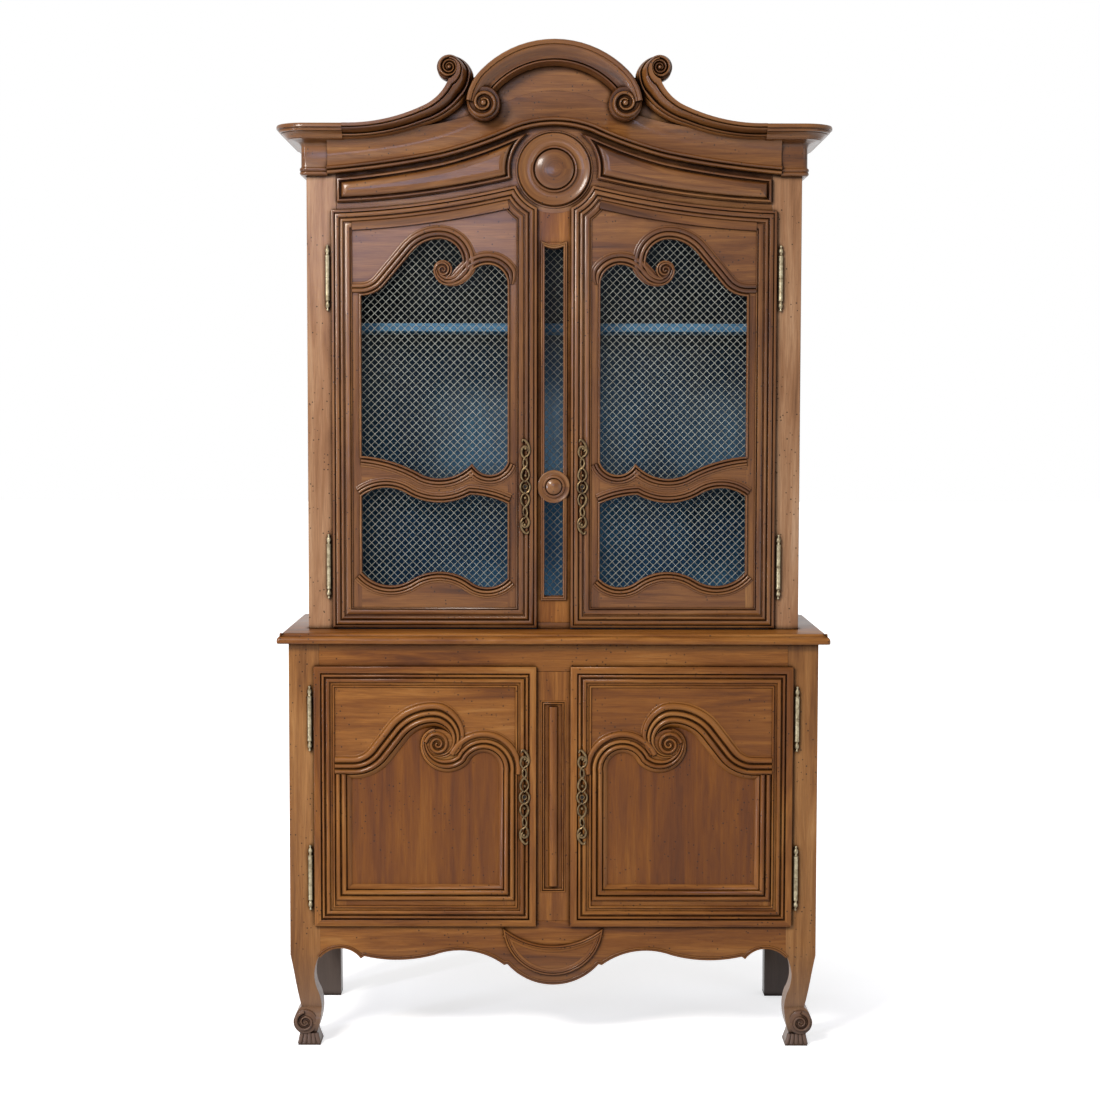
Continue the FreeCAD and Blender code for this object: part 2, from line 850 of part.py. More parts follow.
fascia_low = cornice_bottom - bed_height
swan_first = swan_middle[0]
swan_end = swan_middle[4]
under_swan = face(waves(swan_middle[:5]) + [
    line(swan_end, point(swan_end.x, fascia_low)),
    line(point(swan_end.x, fascia_low), point(-bed_reach, fascia_low)),
    line(point(-bed_reach, fascia_low), point(-bed_reach, swan_first.z)),
    line(point(-bed_reach, swan_first.z), swan_first),
])
arch_edges, arch_end = arc_chain(arch_start, arch_heading, arch_moves, arch_width / 2)
arch_first = arch_edges[0].valueAt(arch_edges[0].FirstParameter)
under_arch = face(arch_edges + [
    line(arch_end, point(arch_end.x, fascia_low)),
    line(point(arch_end.x, fascia_low), point(0, fascia_low)),
    line(point(0, fascia_low), arch_first),
])
valley_top = swan_low[6].z - valley_drop


def fascia_layer(reach, y0, y1):
    """The fascia board between two depths, under the crown and above the bed line."""
    layer = prism(under_swan, y0, y1).fuse(prism(under_arch, y0, y1))
    layer = layer.fuse(box(swan_end.x, arch_end.x, y0, y1, fascia_low, valley_top))
    layer = layer.fuse(mirrored(layer))
    return layer.common(above_bed(reach, y0, y1))


fascia = fascia_layer(bed_reach, fascia_front, upper_front)
fascia = single(fascia.fuse(fascia_layer(upper_post_inner, upper_front, frieze_back)))


def cornice_profile():
    """Necking, upright block, bracket and crown: x is the projection from the case."""
    p = cornice_projection
    low = cornice_bottom
    top = cornice_top
    h = crown_height
    block = fascia_rise
    bracket = arc(point(block, top - 1.3 * h), point(0.31 * p, top - h), point(0.52 * p, top - 0.88 * h))
    outline = [
        bracket.valueAt(bracket.LastParameter),
        point(0.61 * p, top - 0.86 * h),
        point(0.66 * p, top - 0.8 * h),
        point(0.88 * p, top - 0.48 * h),
        point(0.93 * p, top - 0.3 * h),
        point(p, top - 0.23 * h),
        point(p, top - 0.1 * h),
        point(0.97 * p, top),
        point(0, top),
        point(0, low),
        point(block - 2, low),
        point(block + 3, low + 0.13 * h),
        point(block + 3, low + 0.48 * h),
        point(block, low + 0.6 * h),
        bracket.valueAt(bracket.FirstParameter),
    ]
    return face([line(a, b) for a, b in zip(outline, outline[1:])] + [bracket])


side_return = prism(mirrored(cornice_profile()), upper_front, back_y)
side_return.translate(Vector(-upper_half, 0, 0))
corner_face = mirrored(cornice_profile())
corner_face.translate(Vector(-upper_half, upper_front, 0))
round_corner = corner_face.revolve(Vector(-upper_half, upper_front, 0), Vector(0, 0, 1), 90)
horn = prism(mirrored(cornice_profile()), 0, horn_face)
horn.rotate(Vector(0, 0, 0), Vector(0, 0, 1), 90)
horn = mirrored(horn)
horn.translate(Vector(-upper_half, upper_front, 0))
block_end = -upper_half + corner_block_face
horn = horn.cut(box(
    block_end, 0, upper_front - cornice_projection, upper_front, 0, cornice_crown_bottom
))
horn = horn.fuse(round_corner)
horn = single(horn.cut(prism(under_swan, fascia_front, upper_front)))
swan_neck = single(swan_neck.cut(horn).cut(arch))

# Doors, drawn for the left side

upper_mesh_left = upper_lip_hinge + upper_stile_face
upper_mesh_right = lock_lip - upper_stile_face
upper_unit = (upper_mesh_right - upper_mesh_left) / 354.0
lower_panel_left = lower_lip_hinge + lower_stile_face
lower_panel_right = lock_lip - lower_stile_face
lower_panel_bottom = lower_lip_bottom + lower_bottom_rail_face
lower_unit = (lower_panel_right - lower_panel_left) / 377.0


def scaled(moves, unit):
    """Chain moves drawn in door units, at this door's size."""
    result = []
    for size, turn in moves:
        result.append((size * unit, turn))
    return result


def door_blank(outline, front):
    """Lip, body and stepped border of a door, before its openings are cut."""
    face_y = front - lip_thickness
    blank = prism(outline(0), face_y, front)
    blank = blank.fuse(prism(outline(lip_overlap + door_clearance), front, front + leaf_depth))
    groove = prism(outline(lip_band), face_y, face_y + groove_cut)
    groove = groove.cut(prism(outline(lip_band + lip_groove), face_y, face_y + groove_cut))
    blank = blank.cut(groove)
    blank = blank.cut(prism(outline(border_step), face_y, face_y + step_cut))
    return blank.cut(prism(outline(border_width), face_y, face_y + field_cut))


def raised(flat, front, height):
    """A moulding that stands on the door's sunk field."""
    field = front - lip_thickness + field_cut
    return prism(flat, field - height, field)


def scalloped_edge(base, rise, spots):
    """Two waves to a cusp and one lobe to the lock stile, in door units from the mesh corner."""
    return waves([point(upper_mesh_left + x * upper_unit, base + z * rise) for x, z in spots])


low_bay = middle_rail_height - upper_lip_bottom
low_unit = low_bay / 360.0
middle_upper_edge = scalloped_edge(
    middle_rail_height,
    upper_unit,
    [(0, 56), (80, 40), (147, 10), (205, 3), (268, 38), (305, 11), (354, 42)],
)
middle_lower_edge = scalloped_edge(
    middle_rail_height,
    upper_unit,
    [(0, -40), (43, -21), (105, -31), (200, -55), (263, -36), (312, -43), (354, -58)],
)
bottom_edge = scalloped_edge(
    upper_lip_bottom,
    low_unit,
    [(0, 134), (50, 104), (120, 116), (186, 136), (267, 109), (310, 98), (354, 120)],
)


def edge_ends(edges):
    first = edges[0].valueAt(edges[0].FirstParameter)
    last = edges[-1].valueAt(edges[-1].LastParameter)
    return first, last


upper_scroll_start = point(upper_mesh_left, upper_scroll_low)
upper_rise_moves = scaled([(74, 50), (102, 0), (88, -50), (56, -90), (38, -90)], upper_unit)
upper_rise_edges, upper_rise_end = arc_chain(upper_scroll_start, 0, upper_rise_moves)
upper_eye_radius = 22.4 * upper_unit
upper_eye = point(upper_rise_end.x - 10 * upper_unit, upper_rise_end.z + 20 * upper_unit)
upper_hook_start = point(upper_eye.x - upper_eye_radius, upper_eye.z)
upper_hook_moves = scaled([(38, 90), (46, 45), (30, 0), (55, -45)], upper_unit)
upper_lobe_top = arc_chain(upper_hook_start, -90, upper_hook_moves)[1]
upper_hook_moves.append((upper_mesh_right - upper_lobe_top.x, -90))
upper_hook_edges, upper_hook_end = arc_chain(upper_hook_start, -90, upper_hook_moves)
upper_eye_edge = arc(upper_rise_end, point(upper_eye.x, upper_eye.z + upper_eye_radius), upper_hook_start)
middle_ends = edge_ends(middle_upper_edge)
upper_mesh = face(
    upper_rise_edges
    + [upper_eye_edge]
    + upper_hook_edges
    + [line(upper_hook_end, middle_ends[1])]
    + middle_upper_edge
    + [line(middle_ends[0], upper_scroll_start)]
)
lower_ends = edge_ends(middle_lower_edge)
bottom_ends = edge_ends(bottom_edge)
lower_mesh = face(
    middle_lower_edge
    + [line(lower_ends[1], bottom_ends[1])]
    + bottom_edge
    + [line(bottom_ends[0], lower_ends[0])]
)


def upper_leaf():
    """The left grille door in one piece, before it is parted into stiles and rails."""
    leaf = door_blank(upper_outline, upper_front)
    bands = [
        chain_band(upper_scroll_start, 0, upper_rise_moves[:4], 0, upper_scroll_width),
        chain_band(upper_hook_start, -90, upper_hook_moves, 0, upper_scroll_width * 0.9),
    ]
    for band in bands:
        leaf = leaf.fuse(raised(band, upper_front, band_height))
    field = upper_front - lip_thickness + field_cut
    for x0, x1, z0, z1 in (
        (upper_mesh_left - reed_width, upper_mesh_left, bottom_ends[0].z, upper_scroll_low),
        (upper_mesh_right, upper_mesh_right + reed_width, bottom_ends[1].z, upper_hook_end.z),
    ):
        leaf = leaf.fuse(box(x0, x1, field - reed_height, field, z0, z1))
    depth = (upper_front - post_width, upper_front + post_width)
    leaf = leaf.cut(prism(upper_mesh, depth[0], depth[1]))
    return leaf.cut(prism(lower_mesh, depth[0], depth[1]))


lower_scroll_start = point(lower_panel_left, lower_lip_top - lower_scroll_drop)
lower_rise_moves = scaled([(17, 0), (100, 52), (66, 0), (91, -52), (46, -80)], lower_unit)
lower_rise_edges, lower_rise_end = arc_chain(lower_scroll_start, 0, lower_rise_moves)
lower_eye_radius = 36 * lower_unit
lower_eye = point(lower_rise_end.x - 35 * lower_unit, lower_rise_end.z - 15 * lower_unit)
lower_hook_start = point(lower_eye.x - lower_eye_radius, lower_eye.z)
lower_hook_moves = scaled([(58, 90), (60, 45)], lower_unit)
lower_hook_edges, lower_cusp = arc_chain(lower_hook_start, -90, lower_hook_moves)
lower_lobe_crest = point(lower_cusp.x + 52 * lower_unit, lower_cusp.z + 30 * lower_unit)
lower_lobe_end = point(lower_panel_right, lower_cusp.z - 28 * lower_unit)
lower_lobe = arc(lower_cusp, lower_lobe_crest, lower_lobe_end)
lower_eye_edge = arc(lower_rise_end, point(lower_eye.x, lower_eye.z + lower_eye_radius), lower_hook_start)
lower_panel_hole = face(
    lower_rise_edges
    + [lower_eye_edge]
    + lower_hook_edges
    + [
        lower_lobe,
        line(lower_lobe_end, point(lower_panel_right, lower_panel_bottom)),
        line(point(lower_panel_right, lower_panel_bottom), point(lower_panel_left, lower_panel_bottom)),
        line(point(lower_panel_left, lower_panel_bottom), lower_scroll_start),
    ]
)
lower_panel_top = lower_panel_hole.BoundBox.ZMax + groove_depth
lower_door_panel = box(
    lower_panel_left - groove_depth,
    lower_panel_right + groove_depth,
    lower_front + leaf_depth - panel_thickness,
    lower_front + leaf_depth,
    lower_panel_bottom - groove_depth,
    lower_panel_top,
)


def lower_leaf():
    """The left panelled door in one piece, before it is parted into stiles and rails."""
    leaf = door_blank(lower_outline, lower_front)
    bands = [
        chain_band(lower_scroll_start, 0, lower_rise_moves, 0, lower_scroll_width),
        chain_band(lower_hook_start, -90, lower_hook_moves, 0, lower_scroll_width * 0.75),
    ]
    for band in bands:
        leaf = leaf.fuse(raised(band, lower_front, band_height))
    field = lower_front - lip_thickness + field_cut
    round_lobe = lower_lobe.Curve
    lobe_reach = round_lobe.Radius + lower_scroll_width * 0.9
    lobe_band = disc(round_lobe.Center.x, round_lobe.Center.z, lobe_reach, field - band_height, field)
    lobe_left = lower_cusp.x - lower_scroll_width / 2
    lobe_window = (lobe_left, lower_panel_right, field - band_height, field)
    leaf = leaf.fuse(lobe_band.common(box(*lobe_window, lower_lobe_end.z, overall_height)))
    inner = lower_stile_face - border_width
    frame = box(
        lower_panel_left - inner,
        lower_panel_right + inner,
        field - reed_height,
        field,
        lower_panel_bottom - inner,
        lower_lobe_end.z,
    )
    leaf = leaf.fuse(frame)
    leaf = leaf.cut(prism(lower_panel_hole, lower_front - post_width, lower_front + post_width))
    return leaf.cut(lower_door_panel)


def part_leaf(leaf, front, left, right, levels, tenons):
    """Parts a leaf into two stiles and its rails, with a tenon from each rail into each stile."""
    far = 2 * overall_height
    y0 = front - lip_thickness - band_height
    y1 = front + leaf_depth
    stiles = [leaf.common(box(-far, left, y0, y1, 0, far)), leaf.common(box(right, far, y0, y1, 0, far))]
    rails = []
    for (z0, z1), (low, high) in zip(levels, tenons):
        rail = leaf.common(box(left, right, y0, y1, z0, z1))
        tenon_y = front - lip_thickness + field_cut + door_tenon_cover
        for x0, x1, side in ((left - tenon_length, left, 0), (right, right + tenon_length, 1)):
            tenon = box(x0, x1, tenon_y, tenon_y + door_tenon_thickness, low, high)
            rail = rail.fuse(tenon)
            stiles[side] = stiles[side].cut(tenon)
        rails.append(single(rail))
    return [single(stile) for stile in stiles], rails


high_split = (middle_rail_height + upper_scroll_low) / 2
low_split = upper_lip_bottom + 0.46 * low_bay
upper_stiles, upper_rails = part_leaf(
    upper_leaf(),
    upper_front,
    upper_mesh_left,
    upper_mesh_right,
    [(high_split, overall_height), (low_split, high_split), (0, low_split)],
    [
        (upper_scroll_low + 2 * rail_tenon_half, upper_door_side_top - border_width),
        (middle_rail_height - rail_tenon_half, middle_rail_height + rail_tenon_half),
        (upper_lip_bottom + 30 * low_unit, upper_lip_bottom + 90 * low_unit),
    ],
)
lower_split = lower_panel_bottom + 2 * rail_tenon_half
lower_stiles, lower_rails = part_leaf(
    lower_leaf(),
    lower_front,
    lower_panel_left,
    lower_panel_right,
    [(lower_split, overall_height), (0, lower_split)],
    [
        (lower_panel_top + rail_tenon_margin, lower_lip_top - border_width),
        (lower_lip_bottom + border_width / 2, lower_panel_bottom - groove_depth - rail_tenon_margin),
    ],
)
upper_grille = grille(
    upper_mesh_left - grille_margin,
    upper_mesh_right + grille_margin,
    lower_mesh.BoundBox.ZMin - grille_margin,
    upper_mesh.BoundBox.ZMax + grille_margin,
    upper_front + leaf_depth,
)

# Locks and escutcheons of the left doors

keyhole_x = lock_lip - escutcheon_inset
body_lock_edge = lock_lip - lip_overlap - door_clearance


def keyhole(z, y0, y1):
    half = keyhole_width / 2
    return box(keyhole_x - half, keyhole_x + half, y0, y1, z - keyhole_drop, z + half)


def lens(z0, z1, half):
    """A pointed leaf shape standing on the keyhole's line."""
    low = point(keyhole_x, z0)
    high = point(keyhole_x, z1)
    middle = (z0 + z1) / 2
    return face([
        arc(low, point(keyhole_x - half, middle), high),
        arc(low, point(keyhole_x + half, middle), high),
    ])


def escutcheon(z, front):
    """A long scrolled keyhole plate: a round middle with a leaf above and below."""
    back = front - lip_thickness
    face_y = back - escutcheon_thickness
    half = escutcheon_length / 2
    plate = disc(keyhole_x, z, escutcheon_width / 2, face_y, back)
    for end in (z - half, z + half):
        plate = plate.fuse(prism(lens(z, end, escutcheon_width / 3), face_y, back))
    return single(plate.cut(keyhole(z, face_y, back)))


def lock(z, front):
    """A rim lock on the back of the lock stile: its case, its bolt, and the bolt's mortise."""
    back = front + leaf_depth
    right = body_lock_edge - 1
    half_case = lock_height / 2
    case = box(right - lock_width, right, back, back + lock_thickness, z - half_case, z + half_case)
    bolt_y = back + (lock_thickness - bolt_thickness) / 2

    def bolt_room(x0, x1, slack):
        reach = bolt_height / 2 + slack
        return box(x0, x1, bolt_y - slack, bolt_y + bolt_thickness + slack, z - reach, z + reach)

    bolt = bolt_room(right - bolt_length, right, 0)
    channel = bolt_room(right - bolt_length - bolt_slack, right, bolt_slack)
    mortise = bolt_room(-half_stile, right + bolt_travel + mortise_slack, mortise_slack)
    return case.cut(channel), bolt, mortise


upper_lock_case, upper_bolt, upper_mortise = lock(upper_lock_height, upper_front)
lower_lock_case, lower_bolt, lower_mortise = lock(lower_lock_height, lower_front)
upper_stile = single(cut_all(upper_stile, both_sides(upper_mortise)))
lower_stile = single(cut_all(lower_stile, both_sides(lower_mortise)))
upper_stiles[1] = single(upper_stiles[1].cut(keyhole(upper_lock_height, upper_front - 20, upper_front + 20)))
lower_stiles[1] = single(lower_stiles[1].cut(keyhole(lower_lock_height, lower_front - 20, lower_front + 20)))

# Hinges: the post carries the lower knuckle with its pin, the door's knuckle drops over it


def barrel(x, y, root, end, tip):
    """A hinge barrel filed in flats, from its root to its end, with a pointed finial up to the tip."""
    ring = []
    for index in range(barrel_flats):
        turn = 2 * math.pi * index / barrel_flats
        ring.append(Vector(x + barrel_radius * math.cos(turn), y + barrel_radius * math.sin(turn), end))
    top = Vector(x, y, tip)
    base = Part.Face(Part.makePolygon(ring + [ring[0]]))
    sides = [base]
    for first, last in zip(ring, ring[1:] + ring[:1]):
        sides.append(Part.Face(Part.makePolygon([first, last, top, first])))
    return base.extrude(Vector(0, 0, root - end)).fuse(Part.Solid(Part.Shell(sides)))


def hinge(lip_edge, front, z):
    """Post-side and door-side halves of one hinge of a left door."""
    x = lip_edge - hinge_gap
    y = front - hinge_forward
    half_leaf = hinge_leaf_thickness / 2
    low = z - knuckle_gap / 2
    high = z + knuckle_gap / 2
    post_end = low - knuckle_length
    door_end = high + knuckle_length
    post_half = barrel(x, y, low, post_end, post_end - finial_length)
    post_half = post_half.fuse(Part.makeCylinder(pin_radius, pin_length, Vector(x, y, low)))
    post_half = post_half.fuse(box(
        x - half_leaf,
        x + half_leaf,
        y,
        front + hinge_leaf_reach,
        post_end + hinge_leaf_margin,
        low - hinge_leaf_margin,
    ))
    door_half = barrel(x, y, high, door_end, door_end + finial_length)
    door_half = door_half.fuse(box(
        x,
        lip_edge + hinge_leaf_reach,
        y - half_leaf,
        y + half_leaf,
        high + hinge_leaf_margin,
        door_end - hinge_leaf_margin,
    ))
    bore = Part.makeCylinder(pin_radius + pin_clearance, pin_length + knuckle_gap + 1, Vector(x, y, low))
    return single(post_half), single(door_half.cut(bore))


hinge_pins = []
upper_knuckles = []
lower_knuckles = []
for z in (upper_lip_bottom + upper_hinge_low, upper_door_side_top - upper_hinge_high):
    post_half, door_half = hinge(upper_lip_hinge, upper_front, z)
    hinge_pins.append(post_half)
    upper_knuckles.append(door_half)
    upper_post = upper_post.cut(post_half)
    upper_stiles[0] = upper_stiles[0].cut(door_half)
for z in (lower_lip_bottom + lower_hinge_low, lower_lip_top - lower_hinge_high):
    post_half, door_half = hinge(lower_lip_hinge, lower_front, z)
    hinge_pins.append(post_half)
    lower_knuckles.append(door_half)
    lower_post = lower_post.cut(post_half)
    lower_stiles[0] = lower_stiles[0].cut(door_half)

# Grooves and mortises of the posts

lower_post = single(cut_all(lower_post, [lower_top_rail, lower_apron, lower_side_panel]))
lower_back_post = single(cut_all(lower_back_post, [lower_side_panel] + lower_boards))
upper_post = single(cut_all(upper_post, [upper_side_panel]))
upper_back_post = single(cut_all(upper_back_post, [upper_side_panel] + upper_boards))

# Pieces

pieces = {
    "lower_front_posts": both_sides(lower_post),
    "lower_back_posts": both_sides(lower_back_post),
    "lower_top_rail": [lower_top_rail],
    "lower_apron": [lower_apron],
    "lower_centre_stile": [lower_stile],
    "lower_side_rails": both_sides(lower_low_side) + both_sides(lower_high_side),
    "lower_side_panels": both_sides(lower_side_panel),
    "lower_back_boards": lower_boards,
    "lower_floor": [lower_floor],
    "lower_shelf": [lower_shelf],
    "counter_top": counter_boards,
    "upper_front_posts": both_sides(upper_post),
    "upper_back_posts": both_sides(upper_back_post),
    "upper_side_rails": both_sides(upper_low_side) + both_sides(upper_high_side),
    "upper_side_panels": both_sides(upper_side_panel),
    "upper_back_boards": upper_boards,
    "upper_floor": [upper_floor],
    "upper_ceiling": [upper_ceiling],
    "upper_shelves": upper_shelves,
    "shelf_cleats": shelf_cleats,
    "upper_frieze": [frieze],
    "upper_centre_stile": [upper_stile],
    "centre_grille": [centre_grille],
    "cornice_fascia": [fascia],
    "cornice_bed_moulding": [bed_moulding],
    "cornice_end_mouldings": both_sides(horn) + both_sides(side_return),
    "cornice_scroll_mouldings": both_sides(swan_neck) + [arch],
    "hinge_pins": hinge_pins + [mirrored(pin) for pin in hinge_pins],
}
upper_door = {
    "stiles": upper_stiles,
    "top_rail": [upper_rails[0]],
    "middle_rail": [upper_rails[1]],
    "bottom_rail": [upper_rails[2]],
    "grille": [upper_grille],
    "escutcheon": [escutcheon(upper_lock_height, upper_front)],
    "lock_case": [upper_lock_case],
    "lock_bolt": [upper_bolt],
    "hinge_knuckles": upper_knuckles,
}
lower_door = {
    "stiles": lower_stiles,
    "rails": lower_rails,
    "panel": [lower_door_panel],
    "escutcheon": [escutcheon(lower_lock_height, lower_front)],
    "lock_case": [lower_lock_case],
    "lock_bolt": [lower_bolt],
    "hinge_knuckles": lower_knuckles,
}
for stage, door in (("upper", upper_door), ("lower", lower_door)):
    for name, solids in door.items():
        pieces[stage + "_left_door_" + name] = solids
        pieces[stage + "_right_door_" + name] = [mirrored(solid) for solid in solids]

os.makedirs("parts", exist_ok=True)
for name, solids in pieces.items():
    shape = solids[0] if len(solids) == 1 else Part.makeCompound(solids)
    shape.exportStep("parts/" + name + ".step")
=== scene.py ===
import math

import bpy
from mathutils import Matrix, Vector


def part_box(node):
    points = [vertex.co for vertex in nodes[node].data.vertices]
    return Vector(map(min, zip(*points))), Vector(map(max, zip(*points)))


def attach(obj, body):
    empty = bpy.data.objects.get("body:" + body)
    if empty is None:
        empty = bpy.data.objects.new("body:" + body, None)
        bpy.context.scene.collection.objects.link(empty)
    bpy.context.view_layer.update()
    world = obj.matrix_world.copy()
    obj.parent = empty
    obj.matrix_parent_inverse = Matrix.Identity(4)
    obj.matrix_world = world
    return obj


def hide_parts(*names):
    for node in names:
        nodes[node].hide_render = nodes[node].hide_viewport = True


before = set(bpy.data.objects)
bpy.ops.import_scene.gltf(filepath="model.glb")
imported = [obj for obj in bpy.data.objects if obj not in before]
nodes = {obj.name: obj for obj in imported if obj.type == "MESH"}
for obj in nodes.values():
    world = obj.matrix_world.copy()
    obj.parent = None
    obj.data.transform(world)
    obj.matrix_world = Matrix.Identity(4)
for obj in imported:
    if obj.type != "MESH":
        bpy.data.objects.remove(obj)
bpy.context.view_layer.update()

# Lower case: posts, rails, side frames and boards. The real frame is hand-planed walnut,
# waxed for two centuries, with small wormholes; every hollow is painted near black, as glaze and painted
# shade.
mm = 0.001
lower_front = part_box("lower_top_rail")[0].y
lower_wood = ((0.062, 0.016, 0.002), (0.176, 0.056, 0.007), (0.288, 0.108, 0.019), (0.400, 0.182, 0.048))
post_wood = ((0.110, 0.038, 0.008), (0.250, 0.102, 0.026), (0.360, 0.168, 0.053), (0.455, 0.240, 0.095))
panel_wood = ((0.058, 0.013, 0.001), (0.125, 0.034, 0.002), (0.188, 0.058, 0.004), (0.255, 0.094, 0.012))
back_post_shade_wood = ((0.022, 0.011, 0.006), (0.052, 0.031, 0.021), (0.080, 0.052, 0.037), (0.112, 0.078, 0.057))


def add(tree, kind, inputs=None, **settings):
    """A shader node with its settings, and its inputs set or linked."""
    node = tree.nodes.new("ShaderNode" + kind)
    for key, value in settings.items():
        setattr(node, key, value)
    for key, value in (inputs or {}).items():
        if isinstance(value, bpy.types.NodeSocket):
            tree.links.new(value, node.inputs[key])
        else:
            node.inputs[key].default_value = value
    return node


def material_tree(name):
    material = bpy.data.materials.new(name)
    material.use_nodes = True
    return material, material.node_tree, material.node_tree.nodes["Principled BSDF"]


def dress(tree, shader, colour, rough, bump):
    """Links a surface's colour, roughness and relief to its shader."""
    tree.links.new(colour, shader.inputs["Base Color"])
    tree.links.new(rough, shader.inputs["Roughness"])
    tree.links.new(bump.outputs[0], shader.inputs["Normal"])


def mixed(tree, factor, a, b, blend="MIX"):
    return add(tree, "Mix", {0: factor, 6: a, 7: b}, data_type="RGBA", blend_type=blend).outputs[2]


def ramp(tree, value, low, high, bottom=0.0, top=1.0):
    return add(tree, "MapRange", {0: value, 1: low, 2: high, 3: bottom, 4: top}).outputs[0]


def times(tree, a, b, operation="MULTIPLY"):
    return add(tree, "Math", {0: a, 1: b}, operation=operation).outputs[0]


def noise(tree, vector, scale, detail=3.0, roughness=0.55, distortion=0.0):
    inputs = {"Vector": vector, "Scale": scale, "Detail": detail}
    inputs.update({"Roughness": roughness, "Distortion": distortion})
    return add(tree, "TexNoise", inputs).outputs[0]


def stretched(tree, vector, length, width):
    """Coordinates for a pattern that is this long and wide, in metres."""
    scale = (1 / length, 1 / width, 1 / width)
    return add(tree, "VectorMath", {0: vector, 1: scale}, operation="MULTIPLY").outputs[0]


def colours(tree, value, stops):
    """A colour ramp through evenly spaced colours."""
    node = add(tree, "ValToRGB", {0: value})
    elements = node.color_ramp.elements
    for index, colour in enumerate(stops):
        place = index / (len(stops) - 1)
        element = elements[index] if index < 2 else elements.new(place)
        element.position = place
        element.color = (*colour, 1)
    return node.outputs[0]


def grain_along(tree, axis):
    """Coordinates with the grain on the first axis: a mesh's own, or those of a CAD node."""
    if axis is None:
        return add(tree, "Attribute", attribute_name="grain").outputs["Vector"]
    parts = add(tree, "SeparateXYZ", {0: add(tree, "TexCoord").outputs["Object"]}).outputs
    order = {"X": (0, 2, 1), "Y": (1, 2, 0), "Z": (2, 0, 1)}[axis]
    return add(tree, "CombineXYZ", {place: parts[part] for place, part in enumerate(order)}).outputs[0]


def walnut(name, stops, axis=None, shine=0.3):
    """Waxed walnut: streaks, fibre and clouds along the grain, wormholes, glaze with painted shade in
    hollows, a painted floor reflection low down.
    """
    material, tree, shader = material_tree(name)
    grain = grain_along(tree, axis)
    streaks = noise(tree, stretched(tree, grain, 0.32, 0.024), 1.0, 5.0, 0.62, 0.7)
    clouds = noise(tree, stretched(tree, grain, 0.55, 0.15), 1.0, 2.0)
    fibre = noise(tree, stretched(tree, grain, 0.055, 0.0024), 1.0, 3.0, 0.7)
    tone = times(tree, times(tree, streaks, 0.6), times(tree, clouds, 0.4), "ADD")
    tone = ramp(tree, tone, 0.30, 0.70)
    colour = colours(tree, tone, stops)
    colour = mixed(tree, ramp(tree, fibre, 0.35, 0.62, 0.34, 0.0), colour, (*stops[0], 1))
    place = add(tree, "TexCoord").outputs["Object"]
    cells = add(tree, "TexVoronoi", {"Vector": place, "Scale": 85.0})
    lot = add(tree, "SeparateColor", {0: cells.outputs["Color"]}).outputs[0]
    picked = times(tree, lot, 0.36, "GREATER_THAN")
    picked = times(tree, picked, ramp(tree, noise(tree, place, 7.0, 2.0), 0.45, 0.49))
    worms = times(tree, ramp(tree, cells.outputs["Distance"], 0.12, 0.19, 1.0, 0.0), picked)
    colour = mixed(tree, times(tree, worms, 0.85), colour, (0.012, 0.006, 0.003, 1))
    # Painted reflection of the pale floor: the wood is painted greyer below 24 cm.
    height = add(tree, "SeparateXYZ", {0: place}).outputs[2]
    colour = mixed(tree, ramp(tree, height, 0.24, 0.02, 0.0, 0.75), colour, (0.105, 0.080, 0.068, 1))
    # Painted shade: hollows found by ambient occlusion go near black, partly glaze and partly shade, and lose
    # their shine.
    open_sky = add(tree, "AmbientOcclusion", {"Distance": 0.014}, samples=8).outputs["AO"]
    patchy = ramp(tree, noise(tree, place, 26.0, 3.0), 0.3, 0.65, 0.75, 1.0)
    hollow = times(tree, ramp(tree, open_sky, 0.93, 0.54), patchy)
    colour = mixed(tree, times(tree, hollow, 0.97), colour, (0.007, 0.003, 0.002, 1))
    rough = ramp(tree, streaks, 0.25, 0.75, 0.30, 0.42)
    rough = times(tree, rough, times(tree, hollow, 0.25), "ADD")
    height = times(tree, times(tree, fibre, 0.5), times(tree, streaks, 0.6), "ADD")
    height = times(tree, height, worms, "SUBTRACT")
    bump = add(tree, "Bump", {"Strength": 0.22, "Distance": 0.0009, "Height": height})
    dress(tree, shader, colour, rough, bump)
    tree.links.new(ramp(tree, hollow, 0.0, 0.8, 0.45 * shine, 0.02), shader.inputs["Specular IOR Level"])
    tree.links.new(ramp(tree, hollow, 0.0, 0.8, 0.6 * shine, 0.0), shader.inputs["Coat Weight"])
    shader.inputs["Coat Roughness"].default_value = 0.14
    return material


def finish_node(name, material, ease=0.0015, segments=2):
    """A CAD node that stays, with its arrises eased and its finish."""
    node = nodes[name]
    weld = node.modifiers.new("weld", "WELD")
    weld.merge_threshold = 0.00002
    eased = node.modifiers.new("eased", "BEVEL")
    eased.width = ease
    eased.segments = segments
    eased.limit_method = "ANGLE"
    eased.angle_limit = math.radians(40)
    evened = node.modifiers.new("evened", "WEIGHTED_NORMAL")
    evened.keep_sharp = False
    node.data.materials.clear()
    node.data.materials.append(material)


lower_upright = walnut("lower_walnut_upright", post_wood, "Z")
lower_level = walnut("lower_walnut_level", lower_wood, "X")
lower_side_grain = walnut("lower_walnut_side", lower_wood, "Y")
lower_panel_grain = walnut("lower_walnut_panel", panel_wood, "Z")
lower_run = walnut("lower_walnut_run", lower_wood)
finish_node("lower_front_posts", lower_upright, 0.004, 3)
